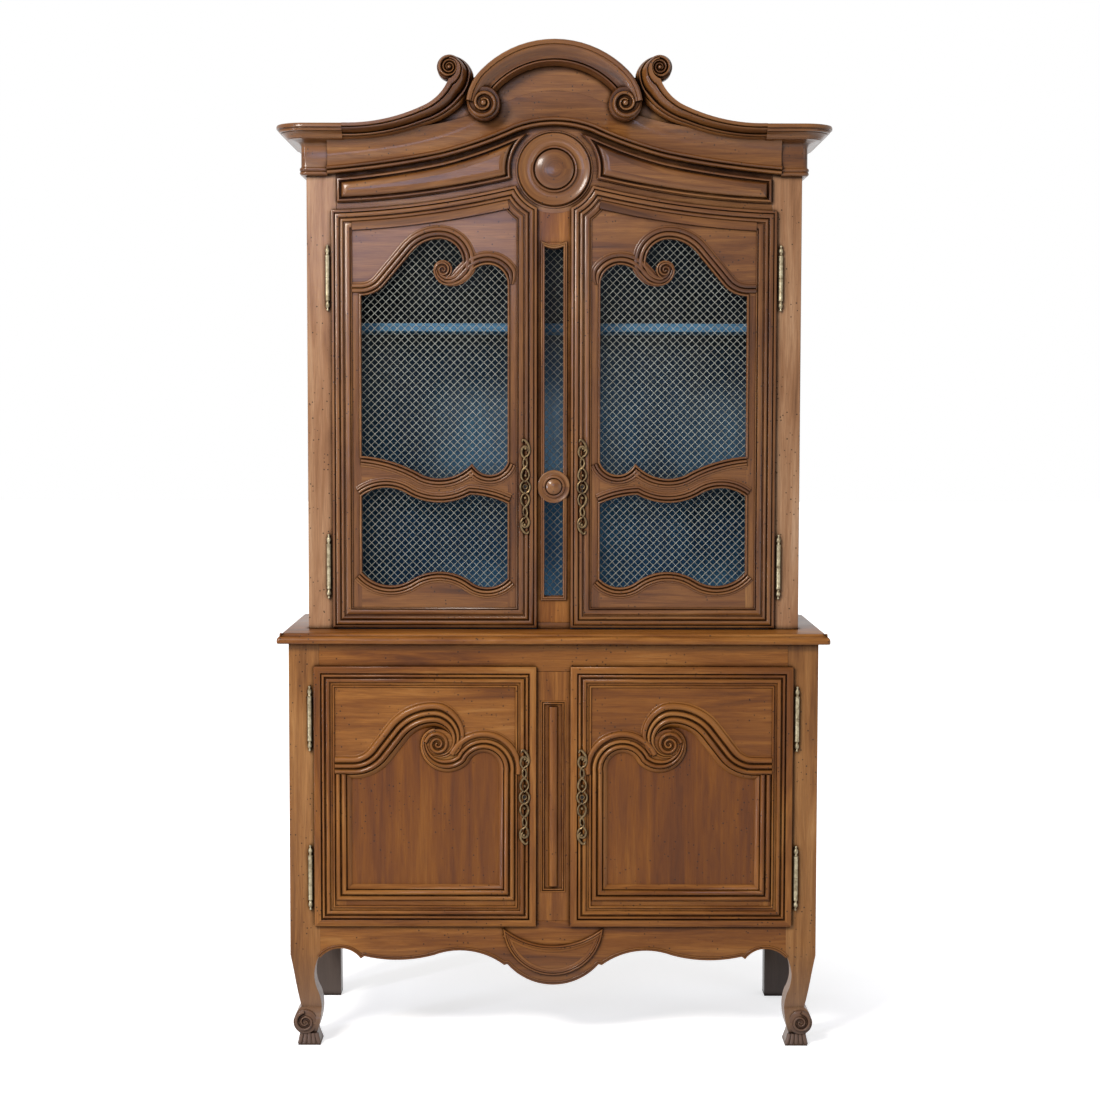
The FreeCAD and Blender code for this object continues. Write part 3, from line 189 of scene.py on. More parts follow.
# The lower back posts are painted near black: painted shade.
finish_node("lower_back_posts", walnut("back_posts_upright", back_post_shade_wood, "Z"))
stile_upright = walnut("stile_walnut_upright", lower_wood, "Z")
finish_node("lower_centre_stile", stile_upright)
finish_node("lower_top_rail", lower_level)
finish_node("lower_apron", lower_level)
finish_node("lower_side_rails", lower_side_grain)
finish_node("lower_side_panels", lower_panel_grain)


def front_plane(y):
    """Places a drawing in the XZ plane, with heights that come forward from y."""
    return lambda x, z, height: (x, y - height, z)


def ring_faces(rings, size):
    """Faces between neighbours in a row of rings, each of so many points."""
    faces = []
    for ring in range(rings):
        for step in range(size - 1):
            low = ring * size + step
            faces.append((low, low + size, low + size + 1, low + 1))
    return faces


def sweep(path, profile, place, closed=False, scales=None):
    """Runs a profile of (across, height) along a path; across grows to the left of travel."""
    spots = path + [path[0]] if closed else path
    last = len(spots) - 1
    verts = []
    grain = []
    length = 0.0
    for index, (a, b) in enumerate(spots):
        if index:
            length += math.hypot(a - spots[index - 1][0], b - spots[index - 1][1])
        before = spots[index - 1] if index else (spots[last - 1] if closed else None)
        after = spots[index + 1] if index < last else (spots[1] if closed else None)
        sides = []
        for start, end in ((before, (a, b)), ((a, b), after)):
            if start and end:
                run = math.hypot(end[0] - start[0], end[1] - start[1]) or 1.0
                sides.append((-(end[1] - start[1]) / run, (end[0] - start[0]) / run))
        lean = 1 + sides[0][0] * sides[-1][0] + sides[0][1] * sides[-1][1]
        lean = max(lean, 0.35)
        mitre = ((sides[0][0] + sides[-1][0]) / lean, (sides[0][1] + sides[-1][1]) / lean)
        if len(sides) == 1:
            mitre = sides[0]
        scale = scales[index] if scales else 1.0
        for across, height in profile:
            reach = across * scale
            verts.append(place(a + mitre[0] * reach, b + mitre[1] * reach, height * scale))
            grain.append((length, across, height))
    size = len(profile)
    faces = ring_faces(last, size)
    if not closed:
        faces.append(tuple(range(size)))
        faces.append(tuple(reversed(range(last * size, last * size + size))))
    return verts, faces, grain


def in_mm(points):
    """A drawing in millimetres, brought to metres."""
    return [(a * mm, b * mm) for a, b in points]


def reeds(valley, members, start=0.0):
    """A moulding's profile in millimetres: (width, top, form) members with valleys between them."""
    points = [(start, 0.0), (start, valley)]
    a = start
    for width, top, form in members:
        if form == "round":
            for step in range(1, 8):
                turn = math.pi * step / 8
                across = a + width * (1 - math.cos(turn)) / 2
                points.append((across, valley + (top - valley) * math.sin(turn)))
        elif form == "hollow":
            for step in range(0, 8):
                turn = math.pi / 2 * step / 7
                points.append((a + width * math.sin(turn), top + (valley - top) * (1 - math.cos(turn))))
        else:
            points += [(a + 0.8, top), (a + width - 0.8, top)]
        a += width
        points.append((a, valley))
    points.append((a, 0.0))
    return in_mm(points)


def chain(start, heading, moves, unit=mm):
    """Points along straight runs (length, 0) and tangent arcs (radius, turn)."""
    x, z = start
    angle = math.radians(heading)
    points = [start]
    for size, turn in moves:
        if turn == 0:
            points.append((x + size * unit * math.cos(angle), z + size * unit * math.sin(angle)))
        else:
            signed = math.copysign(size * unit, turn)
            centre = (x - signed * math.sin(angle), z + signed * math.cos(angle))
            steps = max(2, round(abs(turn) / 5))
            for step in range(1, steps + 1):
                here = angle + math.radians(turn) * step / steps
                points.append((centre[0] + signed * math.sin(here), centre[1] - signed * math.cos(here)))
            angle += math.radians(turn)
        x, z = points[-1]
    return points


def bow(a, b, c, steps=12):
    """Points of one circle from a through b to c, without a itself."""
    twice = 2 * (a[0] * (b[1] - c[1]) + b[0] * (c[1] - a[1]) + c[0] * (a[1] - b[1]))
    squares = [p[0] ** 2 + p[1] ** 2 for p in (a, b, c)]
    x = (squares[0] * (b[1] - c[1]) + squares[1] * (c[1] - a[1]) + squares[2] * (a[1] - b[1])) / twice
    z = (squares[0] * (c[0] - b[0]) + squares[1] * (a[0] - c[0]) + squares[2] * (b[0] - a[0])) / twice
    turns = [math.atan2(p[1] - z, p[0] - x) for p in (a, b, c)]
    span = (turns[2] - turns[0]) % math.tau
    if (turns[1] - turns[0]) % math.tau > span:
        span -= math.tau
    radius = math.hypot(a[0] - x, a[1] - z)
    found = []
    for step in range(1, steps + 1):
        turn = turns[0] + span * step / steps
        found.append((x + radius * math.cos(turn), z + radius * math.sin(turn)))
    return found


def waves(spots, steps=12):
    """Arcs end to end, one through each three points."""
    points = [spots[0]]
    for index in range(0, len(spots) - 2, 2):
        points += bow(spots[index], spots[index + 1], spots[index + 2], steps)
    return points


def spiral(centre, outer, inner, first, turns):
    """Points of a scroll that winds in from its outer radius, anticlockwise for positive turns."""
    steps = round(abs(turns) * 40)
    points = []
    for step in range(steps + 1):
        share = step / steps
        radius = outer + (inner - outer) * share ** 0.85
        turn = math.radians(first) + math.tau * turns * share
        points.append((centre[0] + radius * math.cos(turn), centre[1] + radius * math.sin(turn)))
    return points


def turned(profile, centre, place, steps=40):
    """A profile of (radius, height) turned about one point of a drawing."""
    verts = []
    grain = []
    for index in range(steps + 1):
        turn = math.tau * index / steps
        for radius, height in profile:
            spot = (centre[0] + radius * math.cos(turn), centre[1] + radius * math.sin(turn))
            verts.append(place(spot[0], spot[1], height))
            grain.append((turn * 0.05, radius, height))
    faces = [(a, d, c, b) for a, b, c, d in ring_faces(steps, len(profile))]
    return verts, faces, grain


def loft(outline, profile, place):
    """A closed moulding, from an outline drawn anew at each inset of the profile."""
    rings = [outline(across) for across, _ in profile]
    count = len(rings[0])
    verts = []
    grain = []
    length = 0.0
    for spot in range(count + 1):
        here = spot % count
        if spot:
            length += math.dist(rings[0][here], rings[0][spot - 1])
        for ring, (across, height) in zip(rings, profile):
            verts.append(place(ring[here][0], ring[here][1], height))
            grain.append((length, across, height))
    return verts, ring_faces(count, len(profile)), grain


def board(loops, front, back, along="X", ease=0.0008):
    """A flat board sawn to outlines in the XZ plane, with holes and eased arrises."""
    curve = bpy.data.curves.new("sawn", "CURVE")
    curve.dimensions = "2D"
    curve.fill_mode = "BOTH"
    for loop in loops:
        spline = curve.splines.new("POLY")
        spline.points.add(len(loop) - 1)
        spline.use_cyclic_u = True
        for spot, (x, z) in zip(spline.points, loop):
            spot.co = (x, z, 0, 1)
    curve.extrude = (back - front) / 2 - ease
    curve.bevel_depth = ease
    curve.bevel_resolution = 1
    curve.offset = -ease
    blank = bpy.data.objects.new("sawn", curve)
    mesh = bpy.data.meshes.new_from_object(blank)
    mesh.transform(Matrix.Translation((0, (front + back) / 2, 0)) @ Matrix.Rotation(math.pi / 2, 4, "X"))
    verts = [tuple(vert.co) for vert in mesh.vertices]
    faces = [tuple(polygon.vertices) for polygon in mesh.polygons]
    order = {"X": (0, 2, 1), "Z": (2, 0, 1)}[along]
    grain = [tuple(vert[axis] for axis in order) for vert in verts]
    bpy.data.objects.remove(blank)
    bpy.data.curves.remove(curve)
    bpy.data.meshes.remove(mesh)
    return verts, faces, grain


def piece(name, parts, body, material, stands_for=(), mirror=False, crease=38):
    """Shows parts as one piece of the object that rides on a CAD body."""
    verts = []
    faces = []
    grain = []
    shift = sum(map(ord, name)) * 0.37 % 7.0
    side = -1 if mirror else 1
    for part_verts, part_faces, part_grain in parts:
        base = len(verts)
        verts += [(x * side, y, z) for x, y, z in part_verts]
        for corners in part_faces:
            faces.append([base + corner for corner in (reversed(corners) if mirror else corners)])
        grain += [(a + shift, b + shift, c) for a, b, c in part_grain]
    mesh = bpy.data.meshes.new(name)
    mesh.from_pydata(verts, [], faces)
    mesh.attributes.new("grain", "FLOAT_VECTOR", "POINT").data.foreach_set(
        "vector", [value for spot in grain for value in spot]
    )
    mesh.shade_smooth()
    mesh.set_sharp_from_angle(angle=math.radians(crease))
    mesh.materials.append(material)
    shown = bpy.data.objects.new(name, mesh)
    bpy.context.scene.collection.objects.link(shown)
    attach(shown, body)
    if stands_for:
        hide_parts(*stands_for)
    return shown


def rectangle(left, right, low, high):
    return [(left, low), (right, low), (right, high), (left, high)]


def both_sides(name, parts, material, stands_for=()):
    """The same parts at the left of the case and mirrored at its right."""
    piece("left_" + name, parts, "case", material, stands_for)
    piece("right_" + name, parts, "case", material, stands_for, True)


def mirrored(points):
    return [(-x, z) for x, z in points]


# Carving of the lower case: a sunk panel with a half-round strip on the centre stile, a double
# bead round the crescent of the apron, and a bead along the scalloped edge.
stile_sunk = 0.026
stile_low, stile_high = 0.372, 0.828
sunk_loop = rectangle(-stile_sunk, stile_sunk, stile_low, stile_high)
sunk_floor = front_plane(lower_front + 0.004)
strip_half = 0.011
strip_profile = reeds(0.0, [(22, 7.5, "round")], -11)
strip = sweep([(0, stile_low + strip_half), (0, stile_high - strip_half)], strip_profile, sunk_floor)
stile_frame = sweep(sunk_loop, reeds(0.3, [(5, 5.0, "round")]), sunk_floor, True)
rim = sweep(sunk_loop[::-1], reeds(0.2, [(3, 1.2, "round")], 1), front_plane(lower_front), True)
piece("lower_stile_panel", [strip, stile_frame, rim], "case", lower_run)

apron_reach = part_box("lower_front_posts")[1].x - 0.072
leg_top = 0.215
scallop_end = (-apron_reach, leg_top - 0.008)
scallop_step = (-apron_reach + 0.106, leg_top - 0.004)
drop_start = (-0.118, 0.190)
wave_run = drop_start[0] - scallop_step[0]
scallop = [scallop_end] + bow(
    scallop_end, (-apron_reach + 0.048, leg_top + 0.015), (-apron_reach + 0.098, leg_top - 0.010)
)
scallop += waves([
    scallop_step,
    (scallop_step[0] + wave_run / 4, leg_top - 0.013),
    (scallop_step[0] + wave_run / 2, leg_top - 0.001),
    (scallop_step[0] + wave_run * 3 / 4, leg_top + 0.009),
    drop_start,
])
scallop += waves([(-0.110, 0.192), (0, 0.142), (0.110, 0.192)], 20)
scallop += mirrored(scallop[:-20][::-1])
edge_bead = sweep(scallop, reeds(0.1, [(3, 0.9, "flat"), (4, 1.9, "round")], 2), front_plane(lower_front))
crescent = waves([(-0.120, 0.281), (0, 0.166), (0.120, 0.281)], 24)
crescent += waves([(0.120, 0.281), (0, 0.238), (-0.120, 0.281)], 24)[1:-1]
crescent_bead = sweep(
    crescent, reeds(0.2, [(5, 3.2, "round"), (5, 2.6, "round"), (6, 1.6, "hollow")]),
    front_plane(lower_front - 0.003), True,
)
piece("apron_carving", [edge_bead, crescent_bead], "case", lower_run)

# Cabriole feet: each front leg swings forward to a carved scroll and stands on a flared pad that
# is cut in flutes.
post_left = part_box("lower_front_posts")[0].x
foot_scroll = (post_left + 0.037, 0.055)
foot_front = lower_front - 0.0195
foot_radius = 0.0285
foot_drum = [(0.0, 0.4), (0.90, 0.4), (1.0, -1.5), (1.0, -22)]
foot_drum = [(radius * foot_radius, height * mm) for radius, height in foot_drum]
foot_path = spiral(foot_scroll, foot_radius * 0.86, 0.0025, 95, 2.0)
foot_reed = reeds(0.0, [(7.2, 5.2, "round")], -3.6)
foot_scales = [1.15 - 0.6 * index / (len(foot_path) - 1) for index in range(len(foot_path))]
foot_face = front_plane(foot_front)
foot_parts = [
    turned(foot_drum[::-1], foot_scroll, foot_face, 40),
    sweep(foot_path, foot_reed, foot_face, False, foot_scales),
]
pad_high = 0.027
pad_front, pad_slope = lower_front - 0.0215, 0.3


def on_pad(x, z, height):
    """The pad's front, which leans back from the sole."""
    return (x, pad_front + z * pad_slope - height, z)


for index in range(5):
    share = index / 4
    high = (post_left + 0.029 + 0.034 * share, pad_high)
    low = (post_left + 0.024 + 0.046 * share, 0.003)
    foot_parts.append(sweep([low, high], reeds(0.0, [(10.5, 3.6, "round")], -5.25), on_pad))
both_sides("foot_carving", foot_parts, lower_run)

# Floor, shelf and back of the lower case: plain sawn boards that never saw wax and have gone
# grey-brown with dust.
inner_wood = ((0.10, 0.062, 0.036), (0.21, 0.135, 0.078), (0.31, 0.21, 0.13), (0.37, 0.27, 0.18))
inner_level = walnut("inner_boards_level", inner_wood, "X")
inner_upright = walnut("inner_boards_upright", inner_wood, "Z")
for name in ("lower_floor", "lower_shelf", "shelf_cleats"):
    finish_node(name, inner_level, 0.001)
finish_node("lower_back_boards", inner_upright, 0.002)

# Counter: a thick board with a thumb-moulded edge on three sides. A small step above the
# thumb softens into the flat top.
counter_low, counter_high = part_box("counter_top")
counter_top = counter_high.z
counter_base = counter_low.z
counter_back = counter_high.y - 0.0002
corner_round = 0.006
counter_level = walnut("counter_walnut", lower_wood)


def in_plan(x, y, height):
    """Places a drawing in the floor plan, with heights straight up."""
    return (x, y, height)


def plan_path(left, right, front, back, radius):
    """Three sides of a plan from the back right round the front to the back left, outer side left."""
    path = [(right, back)]
    for centre, first in (((right - radius, front + radius), 0), ((left + radius, front + radius), -90)):
        for step in range(9):
            turn = math.radians(first - 90 * step / 8)
            path.append((centre[0] + radius * math.cos(turn), centre[1] + radius * math.sin(turn)))
    return path + [(left, back)]


nosing = [
    (-15, 0), (-2, 0), (-1, 1.0), (0, 3), (0, 8), (-0.7, 11.5), (-2.6, 14.6), (-5.5, 16.8),
    (-8.5, 17.6), (-9, 18), (-9, 20.5), (-10.5, 22.8), (-13, 24.4), (-16, 25),
]
nosing = [(across * mm, counter_base + height * mm) for across, height in nosing]
edge_path = plan_path(counter_low.x, counter_high.x, counter_low.y, counter_back, corner_round)
counter_edge = sweep(edge_path[::-1], [(-across, height) for across, height in nosing], in_plan)
counter_edge = (counter_edge[0], [face[::-1] for face in counter_edge[1]], counter_edge[2])
slab_inset = 0.0145
slab = rectangle(counter_low.x + slab_inset, counter_high.x - slab_inset, counter_base, counter_top)
counter_slab = board([slab], counter_low.y + slab_inset, counter_back, "X", 0.0004)
piece("counter_board", [counter_edge, counter_slab], "case", counter_level, ("counter_top",))

# Upper case: posts, side frames and painted boards. Inside, the boards are brushed with a
# grey-blue paint, with painted shade in the corners and painted shade deepening towards the top.
upper_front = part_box("upper_front_posts")[0].y
upper_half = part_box("upper_front_posts")[1].x
upper_wood = ((0.040, 0.011, 0.002), (0.126, 0.042, 0.008), (0.212, 0.083, 0.019), (0.300, 0.142, 0.042))
upper_post_wood = ((0.120, 0.052, 0.022), (0.275, 0.132, 0.060), (0.390, 0.216, 0.112), (0.480, 0.300, 0.180))
upper_upright = walnut("upper_walnut_upright", upper_post_wood, "Z")
upper_level = walnut("upper_walnut_level", upper_wood, "X", 0.5)
upper_side_grain = walnut("upper_walnut_side", upper_wood, "Y", 0.5)
upper_run = walnut("upper_walnut_run", upper_wood, None, 0.5)
finish_node("upper_front_posts", upper_upright, 0.002)
finish_node("upper_back_posts", upper_upright)
finish_node("upper_side_rails", upper_side_grain)
finish_node("upper_side_panels", upper_upright)
finish_node("upper_centre_stile", stile_upright, 0.001)
finish_node("upper_frieze", upper_level, 0.0012)


def brushed_paint(name, axis, top_shade):
    """Old distemper: brush lines along the board, chalky patches, painted shade in corners and high up."""
    material, tree, shader = material_tree(name)
    grain = grain_along(tree, axis)
    brush = noise(tree, stretched(tree, grain, 0.22, 0.004), 1.0, 4.0, 0.7)
    patches = noise(tree, stretched(tree, grain, 0.18, 0.09), 1.0, 4.0)
    tone = times(tree, times(tree, brush, 0.4), times(tree, patches, 0.6), "ADD")
    colour = colours(tree, ramp(tree, tone, 0.34, 0.66), (
        (0.012, 0.056, 0.110), (0.028, 0.115, 0.215), (0.060, 0.205, 0.340)
    ))
    # Painted shade: the paint darkens in corners and, on the upright boards, towards the top.
    corner = add(tree, "AmbientOcclusion", {"Distance": 0.05}, samples=6).outputs["AO"]
    colour = mixed(tree, ramp(tree, corner, 0.95, 0.45, 0.0, 0.75), colour, (0.016, 0.026, 0.034, 1))
    height = add(tree, "SeparateXYZ", {0: add(tree, "TexCoord").outputs["Object"]}).outputs[2]
    colour = mixed(tree, ramp(tree, height, 1.20, 1.75, 0.0, top_shade), colour, (0.008, 0.011, 0.013, 1))
    facing = add(tree, "SeparateXYZ", {0: add(tree, "NewGeometry").outputs["True Normal"]}).outputs[1]
    bare = colours(tree, ramp(tree, tone, 0.34, 0.66), (
        (0.060, 0.036, 0.020), (0.135, 0.088, 0.052), (0.21, 0.145, 0.09)
    ))
    colour = mixed(tree, ramp(tree, facing, 0.5, 0.6), colour, bare)
    bump = add(tree, "Bump", {"Strength": 0.25, "Distance": 0.0006, "Height": brush})
    dress(tree, shader, colour, ramp(tree, patches, 0.3, 0.7, 0.55, 0.8), bump)
    return material


painted_level = brushed_paint("painted_boards_level", "X", 0.0)
painted_upright = brushed_paint("painted_boards_upright", "Z", 0.9)
for name in ("upper_floor", "upper_ceiling", "upper_shelves"):
    finish_node(name, painted_level, 0.0015)
finish_node("upper_back_boards", painted_upright, 0.002)

# Centre stile of the upper case: beads round the two wire slots and a small turned roundel
# between them, with a strip of wood under the lower slot.
slot_half = 0.0225
slot_low, slot_high = 1.074, 1.920
small_radius = 0.0395
small_z = 1.341
meet = math.sqrt(small_radius ** 2 - slot_half ** 2)
dip = 0.05625
dip_z = slot_high + dip - 0.007
low_slot = [(-slot_half, slot_low), (slot_half, slot_low)]
low_slot += waves([
    (slot_half, small_z - meet), (0, small_z - small_radius), (-slot_half, small_z - meet)
], 10)
dip_meet = dip_z - math.sqrt(dip ** 2 - slot_half ** 2)
high_slot = waves([
    (-slot_half, small_z + meet), (0, small_z + small_radius), (slot_half, small_z + meet)
], 10)
high_slot += waves([(slot_half, dip_meet), (0, dip_z - dip), (-slot_half, dip_meet)], 10)
slot_bead = reeds(0.3, [(5, 2.6, "round"), (4, 1.5, "round")])
stile_face = front_plane(upper_front - 0.003)
slot_parts = [sweep(loop[::-1], slot_bead, stile_face, True) for loop in (low_slot, high_slot)]
button = [
    (0.0, 13.0), (7, 12.6), (12, 11.4), (16, 9.4), (18.4, 8.2), (19, 5.0), (20, 5.0), (21.5, 7.5),
    (24, 8.2), (26.5, 7.5), (28, 5.2), (30, 4.6), (33, 5.0), (36, 6.2), (37.5, 6.6), (39.4, 5.6),
    (39.4, 0),
]
small_button = in_mm(button)
slot_parts.append(turned(small_button[::-1], (0, small_z), front_plane(upper_front)))
sill_half, sill_low, sill_high = 0.0402, 0.9955, 1.0105
sill = rectangle(-sill_half, sill_half, sill_low, sill_high)
slot_parts.append(board([sill], upper_front - 0.0014, upper_front, "X", 0.0003))
piece("upper_stile_carving", slot_parts, "case", upper_run)

# Frieze: a serpentine framed panel on each side of a large turned roundel. Each panel is a
# bead, a dark recess and a raised field that ends in a hollow by the roundel.
roundel_z = 2.101
hollow_radius = 0.1005
arch_radius = 2.200
door_side_top, door_crest = 2.003, 2.062
lip_bottom = 0.998
upper_lip_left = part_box("upper_left_door_stiles")[0].x
upper_lip_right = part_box("upper_left_door_stiles")[1].x
crest_x = -math.sqrt(hollow_radius ** 2 - (roundel_z - door_crest) ** 2)
arch_chord = (crest_x - upper_lip_left, door_crest - door_side_top)
arch_sag = math.sqrt(arch_radius ** 2 - (arch_chord[0] ** 2 + arch_chord[1] ** 2) / 4)
arch_sag /= math.hypot(*arch_chord)
arch_centre = (
    (crest_x + upper_lip_left) / 2 - arch_sag * arch_chord[1],
    (door_crest + door_side_top) / 2 + arch_sag * arch_chord[0],
)


def door_arch(inset, x):
    """Height of the upper door's arched top at x, set in from the lip."""
    return arch_centre[1] - math.sqrt((arch_radius + inset) ** 2 - (x - arch_centre[0]) ** 2)


def arch_corner(inset):
    """Where the arched top meets the hollow round the roundel."""
    hollow = hollow_radius + inset
    radius = arch_radius + inset
    apart = math.hypot(arch_centre[0], arch_centre[1] - roundel_z)
    along = (apart ** 2 + hollow ** 2 - radius ** 2) / (2 * apart)
    across = math.sqrt(hollow ** 2 - along ** 2)
    unit = (arch_centre[0] / apart, (arch_centre[1] - roundel_z) / apart)
    return (along * unit[0] - across * unit[1], roundel_z + along * unit[1] + across * unit[0])


bed_base = 2.085
bed_crest = 0.120
bed_end = upper_half + 0.001
bed_shares = [(1.0, 0.0), (0.705, 0.14), (0.453, 0.35), (0.319, 0.54), (0.151, 0.867)]
bed_half = [(-bed_end * x, bed_base + bed_crest * z) for x, z in bed_shares]
bed_line = waves(bed_half + [(0, bed_base + bed_crest)] + mirrored(bed_half[::-1]), 10)


def height_at(points, x):
    """Height of a line drawn from left to right, at x."""
    for (x0, z0), (x1, z1) in zip(points, points[1:]):
        if x0 <= x <= x1:
            return z0 + (z1 - z0) * (x - x0) / (x1 - x0)
    return points[0][1] if x < points[0][0] else points[-1][1]


panel_left = -0.5205
panel_gap, panel_drop, panel_hollow = 0.019, 0.012, 0.106
side_steps = 26


def crossing(test, low, high):
    """Where a test passes from false to true between two values."""
    for _ in range(30):
        middle = (low + high) / 2
        low, high = (low, middle) if test(middle) else (middle, high)
    return high


def frieze_outline(inset):
    """The left panel between the door, the roundel and the bed moulding, set in all round."""
    hollow = panel_hollow + inset

    def on_hollow(turn):
        return (hollow * math.cos(turn), roundel_z + hollow * math.sin(turn))

    def under_door(turn):
        x, z = on_hollow(turn)
        return z < door_arch(-panel_gap - inset, x)

    def over_bed(turn):
        x, z = on_hollow(turn)
        return z > height_at(bed_line, x) - panel_drop - inset

    low_turn = crossing(under_door, math.pi, 1.4 * math.pi)
    high_turn = crossing(over_bed, math.pi, 0.55 * math.pi)
    left = panel_left + inset
    low_x = on_hollow(low_turn)[0]
    high_x = on_hollow(high_turn)[0]
    points = []
    for step in range(side_steps):
        x = left + (low_x - left) * step / side_steps
        points.append((x, door_arch(-panel_gap - inset, x)))
    for step in range(11):
        points.append(on_hollow(low_turn + (high_turn - low_turn) * step / 10))
    for step in range(1, side_steps + 1):
        x = high_x + (left - high_x) * step / side_steps
        points.append((x, height_at(bed_line, x) - panel_drop - inset))
    return points


frieze_frame = in_mm([
    (-1.6, 6), (-1.4, 6.2), (0, 6.3), (0.5, 10), (1.8, 12), (3.6, 12.6), (5.4, 12), (6.6, 10),
    (7.0, 6.2), (9.6, 6.2), (10.2, 9), (12.5, 12), (15.5, 14), (19, 15.4), (23, 16.2), (27, 16.5),
    (27.1, 6),
])
frieze_face = front_plane(upper_front)
frieze_parts = [
    loft(frieze_outline, frieze_frame, frieze_face),
    board([frieze_outline(0.0268)], upper_front - 0.0165, upper_front - 0.005, "X", 0.0002),
]
both_sides("frieze_panel", frieze_parts, upper_run)
rings = [
    (0, 19.5), (10, 19.3), (20, 18.6), (30, 17.2), (38, 15.4), (43, 13.6), (46, 12.2), (46.6, 7.0),
    (48, 6.8), (49, 9.4), (51, 11.4), (53.5, 11.6), (55.6, 10.0), (56.6, 7.0), (59, 6.4), (66, 6.2),
    (73, 6.9), (79, 8.4), (82.5, 9.8), (84.5, 9.9), (85.4, 8.6), (86, 6.3), (87.2, 1.0),
    (88.5, 1.0), (89.4, 2.6), (92, 2.6), (93, 0.2),
]
large_roundel = turned(in_mm(rings)[::-1], (0, roundel_z), frieze_face, 72)
piece("large_roundel", [large_roundel], "case", upper_run)

# Cornice: a coved fascia over a double-bead bed moulding, under a crown that runs level round the
# corners, climbs in swan necks to two volutes, and crosses the middle as an arch with volutes.
fascia_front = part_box("cornice_fascia")[0].y
crown_depth = fascia_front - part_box("cornice_scroll_mouldings")[0].y
crown_low, crown_high = 2.164, 2.203
cornice_base = 2.085
crown_return, necking_return = 0.091, 0.052
swan_left = -upper_half + crown_return
swan_unit = (-swan_left - 0.208) / 0.296 * mm


def swan_line(spots):
    """A line of arcs measured from the end of the level crown."""
    return waves([(swan_left + x * swan_unit, crown_low + z * swan_unit) for x, z in spots])


swan_low = swan_line([
    (0, 5), (125, 17), (193, 37), (250, 61), (288, 92), (306, 123), (311, 159), (297, 183), (256, 202)
])
swan_high = swan_line([
    (0, 39), (125, 54), (193, 79), (238, 114), (254, 142), (268, 152), (274, 171), (269, 184), (256, 190)
])
swan_eye = (swan_left + 255 * swan_unit, crown_low + 171 * swan_unit)
swan_radius = 31 * swan_unit
arch_top = (0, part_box("cornice_scroll_mouldings")[1].z)
arch = chain(arch_top, 180, [(245, 45), (125, 37)])
crown_face = front_plane(fascia_front)
crown_profile = [
    (0, 0), (0, 0.38), (0.08, 0.50), (0.13, 0.53), (0.14, 0.46), (0.16, 0.46), (0.17, 0.60),
    (0.22, 0.66), (0.27, 0.66), (0.31, 0.60), (0.32, 0.50), (0.34, 0.50), (0.36, 0.64),
    (0.44, 0.76), (0.54, 0.86), (0.64, 0.92), (0.70, 0.92), (0.71, 0.80), (0.74, 0.80),
    (0.76, 0.96), (0.80, 1.0), (1.0, 1.0), (1.0, 0),
]


def band_between(low, high, profile, depth, place):
    """A moulding between two lines, with its profile as shares of the width and of the depth."""
    verts = []
    grain = []
    length = 0.0
    for index, (near, far) in enumerate(zip(low, high)):
        if index:
            length += math.dist(near, low[index - 1])
        for share, rise in profile:
            x = near[0] + (far[0] - near[0]) * share
            z = near[1] + (far[1] - near[1]) * share
            verts.append(place(x, z, rise * depth))
            grain.append((length, share * 0.04, rise * depth))
    return verts, ring_faces(len(low) - 1, len(profile)), grain


arch_profile = [
    (0, 0), (0, 41), (1.5, 44.6), (5, 46), (11, 45), (13, 42), (15, 42), (21, 39.5), (28, 34.5),
    (35, 30), (40, 28), (43, 28.4), (43.6, 22), (45, 22), (45.6, 29), (47.6, 32), (50, 32),
    (52, 29), (52.8, 20), (56, 10), (56, 0),
]
arch_profile = [(across * mm, height / 46 * crown_depth) for across, height in arch_profile]


def volute(centre, radius, first, turns, depth):
    """A carved scroll end: a deep drum with a rim that winds in to a small eye."""
    drum = [(0.95, 0), (0.95, 0.76), (0.9, 0.80), (0, 0.80)]
    drum = [(radius * out, depth * up) for out, up in drum]
    path = spiral(centre, radius * 0.86, radius * 0.2, first, turns)
    width = radius / mm * 0.28
    ridge = reeds(0.0, [(width, 0.2 * depth / mm, "round")], -width / 2)
    scales = [min(1.0, 0.1 + index * 0.12) - 0.5 * index / (len(path) - 1) for index in range(len(path))]
    top = front_plane(fascia_front - depth * 0.80)
    eye = [(radius * 0.2 * math.cos(k * 0.25), 0.008 * math.sin(k * 0.25)) for k in range(7)]
    return [
        turned(drum, centre, crown_face, 48),
        sweep(path, ridge, top, False, scales),
        turned(eye[::-1], centre, top, 20),
    ]


arch_end = arch[-1]
arch_turn = math.radians(180 + 82)
arch_eye_radius = 0.041
arch_eye = (
    arch_end[0] - arch_eye_radius * math.sin(arch_turn), arch_end[1] + arch_eye_radius * math.cos(arch_turn)
)
swan_parts = [band_between(swan_low, swan_high, crown_profile, crown_depth, crown_face)]
swan_parts += volute(swan_eye, swan_radius, 20, 2.6, crown_depth)
arch_line = mirrored(arch)[::-1] + arch[1:]
arch_parts = [sweep(arch_line, arch_profile, crown_face)]
arch_scroll = volute(arch_eye, arch_eye_radius, 170, 1.9, crown_depth)
for verts, faces, grain in arch_scroll:
    arch_parts.append((verts, faces, grain))
    arch_parts.append(([(-x, y, z) for x, y, z in verts], [face[::-1] for face in faces], grain))
both_sides("swan_neck", swan_parts, upper_run, ("cornice_scroll_mouldings",))
piece("middle_arch", arch_parts, "case", upper_run, ("cornice_scroll_mouldings",))

